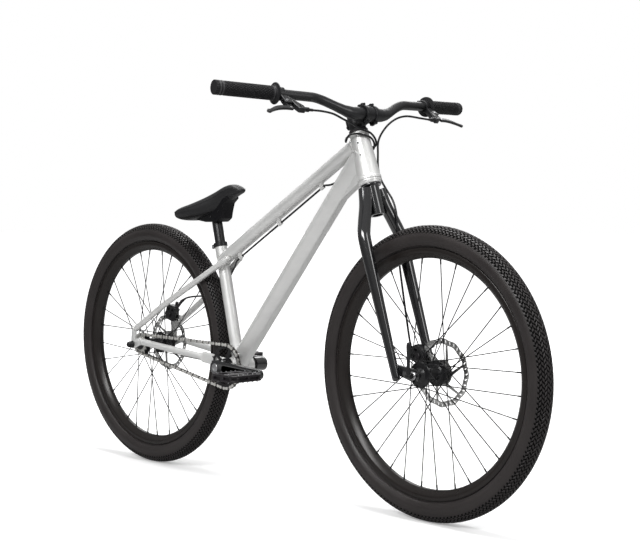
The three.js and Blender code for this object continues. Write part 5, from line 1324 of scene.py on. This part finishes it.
def caliper_details(spec):
    """The pad adjuster and the cable stop with its ribbed adjuster."""
    knob_profile = [(0, -4.4), (6.4, -4.4), (7.4, -3.6), (7.4, -1.2), (6.6, -0.4), (6.6, 0.4), (0, 0.4)]
    stop = [(0, 0), (3.4, 0), (4.3, 0.8), (4.3, 6.0), (3.6, 6.6)]
    length = (spec["end"] - spec["start"]).length
    rib = 7.4
    while rib + 1.2 < length:
        stop += [(4.3, rib), (4.3, rib + 0.7), (3.7, rib + 0.9)]
        rib += 1.2
    stop += [(3.4, length), (0, length)]
    return merged(turned(knob_profile, 12, spec["plane"] @ Vector((0, spec["inner"], -6)), Y),
                  rod(spec["foot"], (spec["start"] + spec["end"]) / 2, 4.0),
                  turned(stop, 28, spec["start"], spec["along"]))


def caliper_bolts(spec):
    outer = spec["outer"]
    bolts = [cap_bolt(spec["plane"] @ Vector((end, outer - 1.8, 12)), Y, 3.4, 3.6) for end in (-15, 15)]
    return merged(*bolts, cap_bolt((spec["pivot"][0], outer + 4.6, spec["pivot"][1]), Y, 3.5, 2.0))


def caliper_lever(spec):
    pivot, arm, low = spec["pivot"], spec["arm"], spec["outer"] + 0.4
    boss = turned([(3.9, 0), (6.2, 0), (6.2, 0.7), (5.7, 1.1), (3.9, 1.1)], 28,
                  Vector((pivot[0], low + 3.9, pivot[1])), Y, closed=True)
    return merged(plate(link(*pivot, 7.4, *arm, 3.9), [circle(3.8, 24, *pivot), circle(1.5, 14, *arm)], low,
                        low + 4.3, 1.0), boss)


def on_arm(spec, out):
    """A place on the axis of the hole where the wire meets the brake's arm."""
    return Vector((spec["arm"][0], spec["outer"] + out, spec["arm"][1]))


def wire_clamp(spec):
    nip = [(0, 0), (3.4, 0), (3.4, 1.9), (2.9, 2.4), (0, 2.4)]
    return turned(nip, 6, on_arm(spec, 5.6) - Y * 0.9, Y)


def bare_wire(spec):
    """The bare inner wire from the stop to the arm."""
    start, end = spec["start"], on_arm(spec, 5.6)
    return tube([start, start.lerp(end, 0.4), end], 0.75, 10)


def make_brake(word, spec, place, body):
    def add(name, shape, carrier, finish, nodes=(), **options):
        return piece(f"{word}_{name}", moved(shape, place), carrier, finish, nodes, **options)

    arm = f"{word}_brake_arm"
    add("caliper_body", caliper_body(spec), body, satin_black, [f"{word}_caliper"], smooth=32)
    add("caliper_fittings", caliper_details(spec), body, dark_plastic, smooth=30)
    add("caliper_bolts", caliper_bolts(spec), body, bolt_steel, smooth=30)
    add("caliper_lever", caliper_lever(spec), arm, satin_black, [f"{word}_caliper_arm"], smooth=32)
    add("wire_clamp", wire_clamp(spec), arm, bolt_steel)
    bare = add("bare_wire", bare_wire(spec), None, bolt_steel)
    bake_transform(bare)


def adapter_bolts():
    bolts = []
    for x, z in ((26, 71), (11, 69.5)):
        bolts += [cap_bolt((x, 49.6, z), -Y, 4.2, 4.4), cap_bolt((x, 55.0, z), Y, 3.6, 2.2)]
    return merged(*bolts)


make_brake("rear", rear_brake, Matrix.Translation(rear_axle), "frame")
make_brake("front", front_brake, axle_matrix, "steering")
steer_piece("front_adapter_bolts", adapter_bolts(), bolt_steel, smooth=30)


# Axles

nut_stations = (
    # radius, height, hexagon
    (0.02, 0, False), (9.8, 0, False), (9.8, 1.4, False), (9.114, 1.5, False), (9.408, 2.2, True),
    (9.408, 9.36, True), (8.82, 10.08, False), (7.84, 10.26, False), (7.644, 12.96, False),
    (6.86, 15.48, False), (4.704, 17.28, False), (1.96, 18, False), (0.02, 18, False))


def cap_nut(centre, axis):
    """A domed nut on its washer: a hexagon with its corners turned down, then the dome."""
    matrix = basis(centre, axis)
    rings = []
    for radius, height, six in nut_stations:
        ring = [polar(min(radius, hexagon(radius * 0.885, angle)) if six else radius, angle)
                for angle in turns(60)]
        rings.append([matrix @ Vector((*point, height)) for point in ring])
    return rings_to_shape(rings)


def rear_hardware():
    locknut = [(5.2, 60.5), (8.4, 60.5), (8.4, 63.4), (7.6, 64.2), (8.2, 64.6), (8.2, 67.4), (5.2, 67.4)]
    parts = []
    for axis in (-Y, Y):
        parts += [cap_nut(rear_axle + axis * 74.8, axis), turned(locknut, 6, rear_axle, axis, closed=True)]
    return merged(*parts, rod(rear_axle - Y * 74.6, rear_axle + Y * 74.6, 5.0))


def skewer():
    nut = [(0, 57.6), (8.6, 57.6), (9, 58.2), (9, 61.0), (7.6, 61.8), (7.4, 65.2), (6.4, 66.6), (0, 66.6)]
    head = [(0, 57.6), (9.6, 57.6), (10, 58.2), (10, 60.4), (8.4, 61.6), (7.6, 64.0), (0, 64.0)]
    locknut = [(4.8, 43), (8.4, 43), (8.4, 46), (7.4, 46.6), (8.2, 47.2), (8.2, 49.9), (4.8, 49.9)]
    return merged(rod(Y * -62, Y * 60, 4.4), turned(nut, 36, axis=Y), turned(head, 36, axis=-Y),
                  *[turned(locknut, 32, axis=axis, closed=True) for axis in (-Y, Y)])


blade_stations = (
    # height, half width, half thickness
    (1, 5.8, 2.4), (8, 5.6, 2.3), (18, 5.0, 2.1), (30, 4.5, 1.9), (42, 4.6, 1.9), (54, 5.2, 2.1),
    (64, 5.9, 2.3), (71, 5.6, 2.3), (75, 3.6, 1.8), (75.9, 1.2, 0.8))


def quick_lever():
    """The cam lever: a barrel across the skewer and a blade that swells towards its end."""
    barrel = turned([(0, -7.4), (5.4, -7.4), (6.1, -6.6), (6.1, 6.6), (5.4, 7.4), (0, 7.4)], 32, Y * -70.6, X)
    rings = [[Vector((width * squared(c, 0.6), thick * squared(s, 0.8) - 73.1, z)) for c, s in circle(1, 32)]
             for z, width, thick in blade_stations]
    return merged(barrel, rings_to_shape(rings))


piece("rear_axle_nuts", rear_hardware(), "frame", black_steel, ["rear_axle"], smooth=30)
piece("skewer_rod", moved(skewer(), axle_matrix), "steering", bolt_steel, ["front_skewer"], smooth=32)
piece("quick_lever_blade", quick_lever(), "quick_lever", satin_black, ["quick_release_lever"], smooth=40,
      offset=front_axle)


# Chain drive

pitch = 12.7
ring_teeth = 28
cog_teeth = 13
chain_line = -46.0
link_eye = 4.1
crank_turn = math.radians(1.7)
crank_length = 165
crank_place = Matrix.Translation(bracket) @ Matrix.Rotation(crank_turn, 4, "Y")


def pitch_radius(teeth):
    return pitch / (2 * math.sin(math.pi / teeth))


ring_radius = pitch_radius(ring_teeth)
cog_radius = pitch_radius(cog_teeth)


def around(centre, radius, angle):
    x, z = polar(radius, angle)
    return Vector((centre.x + x, centre.z + z))


def chain_course():
    """The pins' places: [x, z] along the loop over the ring and the cog, evenly spaced."""
    heading, spread = map(math.radians, tangents(bracket.x, bracket.z, ring_radius, rear_axle.x, rear_axle.z,
                                                 cog_radius))
    run = (ring_radius - cog_radius) * math.tan(spread)
    low, high = heading - spread, heading + spread
    ends = {angle: (around(rear_axle, cog_radius, angle), around(bracket, ring_radius, angle))
            for angle in (low, high)}
    legs = ((2 * spread * cog_radius, lambda way: around(rear_axle, cog_radius, low + way / cog_radius)),
            (run, lambda way: ends[high][0].lerp(ends[high][1], way / run)),
            ((2 * math.pi - 2 * spread) * ring_radius,
             lambda way: around(bracket, ring_radius, high + way / ring_radius)),
            (run, lambda way: ends[low][1].lerp(ends[low][0], way / run)))
    total = sum(length for length, place in legs)
    count = 2 * round(total / pitch / 2)
    places = []
    for i in range(count):
        way = total * (i + 0.25) / count
        for length, place in legs:
            if way < length:
                places.append(tuple(place(way)))
                break
            way -= length
    return places


chain_pins = chain_course()


def link_plate(ax, az, bx, bz, low, high):
    half = arc(math.hypot(bx - ax, bz - az) / 2, 0, link_eye, -125, 125, 10) + [(0, 2.9)]
    outline = half + [(-x, -z) for x, z in half]
    matrix = (shifted((ax + bx) / 2, 0, (az + bz) / 2)
              @ Matrix.Rotation(-math.atan2(bz - az, bx - ax), 4, "Y"))
    return rings_to_shape([[matrix @ Vector((x, y, z)) for x, z in outline] for y in (low, high)])


def on_chain(profile, sides, pins, closed=False):
    return [turned(profile, sides, Vector((x, chain_line, z)), Y, closed) for x, z in pins]


def chain_links(first, inner, outer):
    """The side plates of every second link."""
    ends = list(zip(chain_pins, chain_pins[1:] + chain_pins[:1]))[first::2]
    return [link_plate(*a, *b, *sorted((chain_line + side * inner, chain_line + side * outer)))
            for a, b in ends for side, _ in SIDES]


def tooth_phase(centre, radius):
    """The angle of a chain pin that lies on this wheel's pitch circle."""
    best = min(chain_pins, key=lambda pin: abs(math.hypot(pin[0] - centre.x, pin[1] - centre.z) - radius)
               + 0.01 * abs(pin[1] - centre.z))
    return math.atan2(best[1] - centre.z, best[0] - centre.x)


def toothed_wheel(teeth, centre, holes):
    """A flat wheel whose gaps hold the chain's rollers."""
    radius = pitch_radius(teeth)
    phase = tooth_phase(centre, radius)
    points = []
    for turn in turns(teeth):
        angle = phase + turn
        points += [polar(radius + 3.0, angle + share * math.pi / teeth) for share in (-1.06, -0.94)]
        points += centred(*polar(radius, angle), [polar(link_eye, angle + math.radians(heading)) for heading in
                                                  (-112, -135, -158, -180, -202, -225, -248)])
    outline, *holes = [centred(centre.x, centre.z, loop) for loop in (points, *holes)]
    return plate(outline, holes, chain_line - 1.1, chain_line + 1.1, 0.35)


def ring_window(middle):
    """One rounded opening between two arms of the chainring."""
    loop = [polar(21.5, angle) for angle in between(middle - 0.44, middle + 0.44, 6)]
    loop += [polar(ring_radius - 9.5, angle) for angle in between(middle + 0.52, middle - 0.52, 10)]
    return rounded_loop(loop, 2.6)


def ring_wheel():
    windows = [ring_window(turn + math.pi / 5 - crank_turn) for turn in turns(5)]
    return toothed_wheel(ring_teeth, bracket, [circle(15.2, 40), *windows])


def cog_wheel():
    lock = turned([(17.3, 1.2), (19.6, 1.2), (19.6, 2.6), (18.8, 3.2), (17.3, 3.2)], 36,
                  rear_axle + Y * (chain_line - 4.4), Y, closed=True)
    return merged(toothed_wheel(cog_teeth, rear_axle, [circle(17.4, 36)]), lock)


def crank_arm(side):
    """The arm with a sunken groove along its outer face, and its boss round the spindle."""
    end = -side * crank_length
    arm = link(0, 0, 18.8, end, 0, 12.8, 18)
    groove = link(-side * 34, 0, 8.2, -side * 138, 0, 5.6, 12)
    eye = circle(7.2, 32, end, 0)
    boss = [(9.0, 47.5), (18.0, 47.5), (18.8, 48.3), (18.8, 70), (9.0, 70)]
    neck = [(9.0, 41.2), (14.6, 41.2), (14.6, 50), (9.0, 50)]
    return moved(merged(side_plate(arm, [eye], side, 68.5, 79.8, 1.4),
                        side_plate(arm, [groove, eye], side, 79.8, 83.0, 1.4),
                        turned(boss, 56, axis=Y * side, closed=True),
                        turned(neck, 48, axis=Y * side, closed=True)), crank_place)


def crank_fittings():
    cover = [(0, 82.4), (10.6, 82.4), (10.6, 83.6), (9.6, 84.6), (5.4, 84.8), (4.6, 83.6), (0, 83.6)]
    parts = []
    for side, _ in SIDES:
        parts.append(turned(cover, 40, axis=Y * side))
        parts += [cap_bolt((-side * 22, side * 76, up * 17.4), (0, 0, up), 2.9, 2.2) for up in (-1, 1)]
    return moved(merged(*parts), crank_place)


def cup(side):
    profile = [(8.9, 18.5), (17.8, 18.5), (17.8, 36.7), (21.2, 36.8), (22, 37.5), (22, 40.0), (21.4, 40.7),
               (16.5, 40.8), (16.2, 40.2), (8.9, 40.2)]
    places = [bracket + Vector((x, side * 38.7, z)) for x, z in circle(21.4, 12)]
    return merged(turned(profile, 64, bracket, Y * side, closed=True),
                  *[rod(place - Y * 1.7, place + Y * 1.7, 1.5, 12) for place in places])


def pedal_centre(side):
    return crank_place @ Vector((-side * crank_length, side * 146, 0))


def scaled(points, share):
    return [(x * share, y * share) for x, y in points]


def pedal_body(side):
    """Two decks over a recessed wall, held apart by blocks, so the sides show slots."""
    centre = pedal_centre(side)
    place = axes(X, -Z, Y, centre)
    quarter = [(12.5, 6.5), (36, 6.5), (36, 30), (29, 37.5), (12.5, 37.5)]
    windows = []
    for end in (-1, 1):
        for half in (-1, 1):
            loop = [(end * x, half * y) for x, y in quarter]
            windows.append(rounded_loop(loop if end == half else loop[::-1], 4.0))
    corners = [(-48, -37), (-36, -49), (36, -49), (48, -37), (48, 37), (36, 49), (-36, 49), (-48, 37)]
    outline = rounded_loop(corners, 5.0)
    blocks = scaled(corners, 0.925) + [(-44.5, 0), (44.5, 0), (0, -45.4), (0, 45.4)]
    return merged(plate(outline, windows, 3.0, 8.3, 1.5, place),
                  plate(outline, windows, -8.3, -3.0, 1.5, place),
                  plate(rounded_loop(scaled(corners, 0.9), 5.0), windows, -3.4, 3.4, 0, place),
                  *[rod(centre + Vector((x, y, -3.2)), centre + Vector((x, y, 3.2)), 3.7, 20)
                    for x, y in blocks],
                  rod(centre - Y * 44, centre + Y * 44, 9.6, 40, 1.5),
                  turned([(0, 48.6), (6.2, 48.6), (6.8, 48.2), (7.0, 44), (0, 44)], 6, centre, Y * side))


def pedal_pins(side):
    profile = [(0, 0), (2.0, 0), (2.0, 0.7), (1.35, 0.8), (1.35, 2.9), (1.1, 3.1), (0, 3.1)]
    places = [(x, y) for x in (-42, 42) for y in (-30, -15, 0, 15, 30)]
    places += [(x, y) for x in (-20, 20) for y in (-43, 43)]
    return merged(*[turned(profile, 12, pedal_centre(side) + Vector((x, y, face * 7.9)), Z * face)
                    for x, y in places for face in (-1, 1)])


def pedal_spindle(side):
    profile = [(0, 70), (6.9, 70), (6.9, 83.2), (8.5, 83.4), (8.5, 86.4), (7.4, 87.2), (7.4, 90.4), (8.3, 91.2),
               (8.3, 96.4), (0, 96.4)]
    return turned(profile, 32, crank_place @ Vector((-side * crank_length, 0, 0)), Y * side)


def make_drive():
    pins = on_chain([(0, -4.9), (1.8, -4.9), (1.8, 4.9), (0, 4.9)], 10, chain_pins)
    rollers = on_chain([(1.7, -2.4), (3.8, -2.4), (3.8, 2.4), (1.7, 2.4)], 12, chain_pins, True)
    piece("chain_outer_links", merged(*chain_links(0, 3.6, 4.5), *pins), "frame", chain_steel, ["chain"],
          smooth=30)
    piece("chain_inner_links", merged(*chain_links(1, 2.5, 3.4)), "frame", chain_dark, smooth=30)
    piece("chain_rollers", merged(*rollers), "frame", chain_dark, smooth=30)
    piece("chainring_disc", ring_wheel(), "crank", black_steel, ["chainring"], smooth=30)
    piece("cog_disc", cog_wheel(), "freewheel", chain_steel, ["rear_cog"], smooth=30)
    piece("spindle_rod", rod(bracket - Y * 71.6, bracket + Y * 71.6, 8.4, 32), "crank", bolt_steel,
          ["bb_spindle"])
    piece("crank_fittings", crank_fittings(), "crank", bolt_steel, smooth=30)
    for side, word in SIDES:
        pedal = f"pedal_platform_{word}"
        piece(f"crank_lever_{word}", crank_arm(side), "crank", gloss_black, [f"crank_arm_{word}"], smooth=32)
        piece(f"bracket_cup_{word}", cup(side), "frame", black_steel, [f"bb_cup_{word}"], smooth=32)
        piece(f"pedal_spindle_{word}", pedal_spindle(side), "crank", bolt_steel, [f"pedal_axle_{word}"],
              smooth=30)
        piece(f"pedal_deck_{word}", pedal_body(side), pedal, dark_plastic, [f"pedal_{word}"], smooth=32)
        piece(f"pedal_pins_{word}", pedal_pins(side), pedal, bolt_steel, smooth=30)


make_drive()


# Seat post, clamp and saddle

collar_middle = on_seat(324.6)
saddle_pivot = on_seat(402)
saddle_tilt = math.radians(13)
saddle_matrix = Matrix.Translation(saddle_pivot) @ Matrix.Rotation(-saddle_tilt, 4, "Y")


def seat_clamp():
    """The collar with two lugs behind it, one on each side of its slit."""
    collar = [(16.3, 319.2), (17.6, 319.2), (18.2, 319.9), (18.2, 329.4), (17.6, 330.1), (16.3, 330.1)]
    loop = rounded_loop([(-6.5, -5.3), (6.5, -5.3), (6.5, 5.3), (-6.5, 5.3)], 2.2)
    lugs = [plate(loop, [], -3.1, 3.1, 1.0, axes(seat_back, Y, seat_back.cross(Y),
                                                 collar_middle + seat_back * 22 + Y * side * 4.7))
            for side, _ in SIDES]
    return merged(turned(collar, 64, bracket, seat_up, closed=True), *lugs)


def seat_clamp_bolt():
    centre = collar_middle + seat_back * 23
    return merged(cap_bolt(centre - Y * 7.6, -Y, 3.0, 2.6), rod(centre - Y * 8, centre + Y * 8.4, 2.0, 16))


def post_shape():
    profile = [(0, 185.4), (12.9, 185.4), (13.6, 186.2), (13.6, 386), (13.2, 389), (10.9, 398),
               (10.6, 402), (0, 402)]
    head = [(0, -14.8), (10.2, -14.8), (11, -14), (11, 14), (10.2, 14.8), (0, 14.8)]
    return merged(turned(profile, 56, bracket, seat_up), turned(head, 48, saddle_pivot, Y))


saddle_length, saddle_width, saddle_height = 249.0, 122.0, 52.0
saddle_rear, saddle_lift = 125.0, 20.0
saddle_shares = (
    # share of the length, of the half width, and of the height for the crown and the underside
    (0.0, 0.4, 0.35, 0.15), (0.052, 0.82, 0.48, -0.08), (0.14, 1.0, 0.54, -0.2), (0.3, 0.95, 0.57, -0.3),
    (0.46, 0.72, 0.66, -0.3), (0.62, 0.48, 0.79, -0.2), (0.763, 0.36, 0.9, 0.1), (0.884, 0.31, 0.84, 0.24),
    (0.964, 0.24, 0.62, 0.3), (1.0, 0.12, 0.45, 0.36))


def saddle_station(share):
    """Half width, crown and underside at a place along the saddle, on smooth curves."""
    last = len(saddle_shares) - 1
    i = min(sum(share > row[0] for row in saddle_shares[1:]), last - 1)
    a, b, c, d = [saddle_shares[min(max(i + k, 0), last)] for k in (-1, 0, 1, 2)]
    run = c[0] - b[0]
    t = (share - b[0]) / run
    weights = (2 * t ** 3 - 3 * t ** 2 + 1, t ** 3 - 2 * t ** 2 + t, 3 * t ** 2 - 2 * t ** 3, t ** 3 - t ** 2)
    out = []
    for k in (1, 2, 3):
        before = (c[k] - a[k]) / (c[0] - a[0]) * run
        after = (d[k] - b[k]) / (d[0] - b[0]) * run
        out.append(sum(weight * value for weight, value in zip(weights, (b[k], before, c[k], after))))
    return out


def saddle_point(share, angle, grow=0.0):
    half, crown, under = saddle_station(share)
    top, low = crown * saddle_height, under * saddle_height
    c, s = polar(1, angle)
    x = share * saddle_length - saddle_rear
    y = (half * saddle_width / 2 + grow) * squared(c, 0.8)
    z = (top + low) / 2 + ((top - low) / 2 + grow) * squared(s, 0.8)
    if s < 0 and abs(y) < 18:
        z = max(z, 13.5 - saddle_lift - max(0.0, abs(x) - 19) * 0.9)
    return saddle_matrix @ Vector((x, y, z + saddle_lift))


def saddle_cover():
    stations = [0.002, 0.008, 0.018, 0.032] + [0.052 + 0.0175 * i for i in range(53)] + [0.986, 0.994, 0.998]
    return rings_to_shape([[saddle_point(share, angle) for angle in turns(72)] for share in stations])


def saddle_seam():
    """The welt along both sides where the top panel meets the skirt."""
    return merged(*[tube([saddle_point(share, math.radians(angle), 0.1) for share in between(0.03, 0.97, 90)],
                         0.9, 8) for angle in (14, 166)])


def saddle_base():
    """The shell under the pad: two cheeks outside the post's head, with a web ahead and one behind."""
    keel = rounded_loop([(-60, 26), (-60, 4), (-24, -10), (24, -20), (40, -14), (50, 6), (60, 22), (78, 30),
                         (78, 36)], 3.0)
    ahead = rounded_loop([(78, 30), (60, 22), (50, 6), (40, -14), (24, -19.6), (17.8, -18), (17.8, 30),
                          (78, 36)], 2.0)
    behind = rounded_loop([(-17.8, 26), (-59, 26), (-59, 4.4), (-24, -9.6), (-17.8, -11.4)], 2.0)
    layers = ((keel, [], 15.4, 21.0, 2.4), (keel, [], -21.0, -15.4, 2.4), (ahead, [], -20.0, 20.0, 1.5),
              (behind, [], -20.0, 20.0, 1.5))
    return merged(*[plate(*layer, saddle_matrix) for layer in layers])


def saddle_bolts():
    bolts = []
    for side, _ in SIDES:
        bolts += [cap_bolt((0, side * 20.4, 0), (0, side, 0), 4.2, 2.4),
                  cap_bolt((34, side * 20.4, 6), (0, side, 0), 2.6, 1.6)]
    return moved(merged(*bolts), saddle_matrix)


piece("seat_collar", seat_clamp(), "frame", satin_black, ["seat_clamp"], smooth=30)
piece("seat_collar_bolt", seat_clamp_bolt(), "frame", bolt_steel, smooth=30)
piece("post_tube", post_shape(), "post", satin_black, ["seatpost"], smooth=30)
saddle_pad = piece("saddle_pad", saddle_cover(), "seat", saddle_skin, ["saddle"], smooth=70, subdivide=1)
piece("saddle_welt", saddle_seam(), "seat", saddle_skin, smooth=60)
piece("saddle_shell_body", saddle_base(), "seat", saddle_shell, smooth=30)
piece("saddle_bolts", saddle_bolts(), "seat", black_steel, smooth=30)


# Brake cables, along the same route as in the part

rear_cable_front = (
    (57.5, -166, 619.5), (48, -120, 619), (42.4, -90, 612), (37, -55, 603), (30, -22, 594), (29, 8, 587),
    (21, 29, 572.5), (12.6, 35.5, 564), (-1.3, 37, 564), (-16, 33, 576), (-29, 18, 592), (-35, 0, 601.5),
    (-30.5, -16, 592), (-22, -27, 582), (-14, -32, 584), (0, -34.5, 590), (14, -30, 589), (24.5, -15, 583.5),
    (28, 4, 577), (20.5, 21.5, 566.5), (8, 30, 557), (-13, 33, 553), (-57, 34, 537), (-105, 26, 523.5),
    (-138, 10, 516.5))
rear_cable_back = (
    (-160, 1, 574.8), (-178, 11, 563), (-205, 24, 547), (-235, 38, 530), (-270, 52, 512), (-320, 63.5, 490),
    (-370, 70.5, 474), (-412, 70, 470), (-440, 65, 467))
front_cable_route = (
    (57.5, 166, 621.5), (48, 122, 628), (42, 84, 618), (30, 57, 598), (17, 42, 573), (9, 38, 541),
    (2, 35.5, 508), (0.5, 38, 482), (5, 43, 457), (15.5, 45, 426), (19.5, 43, 395), (15, 41, 365),
    (6.5, 41.5, 335), (-2.5, 43.3, 300), (-9, 44, 270), (-17, 45, 220), (-27, 47.5, 160), (-36, 51, 112))
cable_radius = 2.5
guide_clear = 9


def cable_start(side):
    return [lever_frame(side) @ Vector((lever_cable, -inward, 0)) for inward in (48.3, 59)]


def cable_finish(spec, place):
    return [place + spec["end"] + spec["along"] * beyond for beyond in (13.5, 0.3)]


def sleeve(start, end):
    profile = [(cable_radius, 0), (3.3, 0), (3.3, 8.4), (2.8, 9), (cable_radius, 9)]
    return turned(profile, 24, start, end - start, closed=True)


def make_cables():
    rear_end = cable_finish(rear_brake, rear_axle)
    front_end = cable_finish(front_brake, Vector((fork_rake, 0, 0)))
    ahead = [steer_matrix @ Vector(point) for point in (*cable_start(-1), *rear_cable_front)]
    under = [under_top_tube(guide_places[0] + guide_clear), under_top_tube(guide_places[-1] - guide_clear)]
    path = (catmull(ahead + under[:1], 4.5)[:-1] + catmull(under, 40.0)[:-1]
            + catmull([under[1], *rear_cable_back, *rear_end], 4.5))
    rear_hose = piece("rear_cable_housing", tube(path, cable_radius, 16), None, cable_black,
                      ["rear_brake_cable"], smooth=60)
    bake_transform(rear_hose)
    front_path = catmull([*cable_start(1), *front_cable_route, *front_end], 4.5)
    steer_piece("front_cable_housing", tube(front_path, cable_radius, 16), cable_black, ["front_brake_cable"],
                smooth=60)
    for side, word in SIDES:
        steer_piece(f"cable_sleeve_{word}", sleeve(*cable_start(side)), dark_plastic)
    piece("cable_sleeve_rear", sleeve(*reversed(rear_end)), "frame", dark_plastic)
    steer_piece("cable_sleeve_front", sleeve(*reversed(front_end)), dark_plastic)


make_cables()
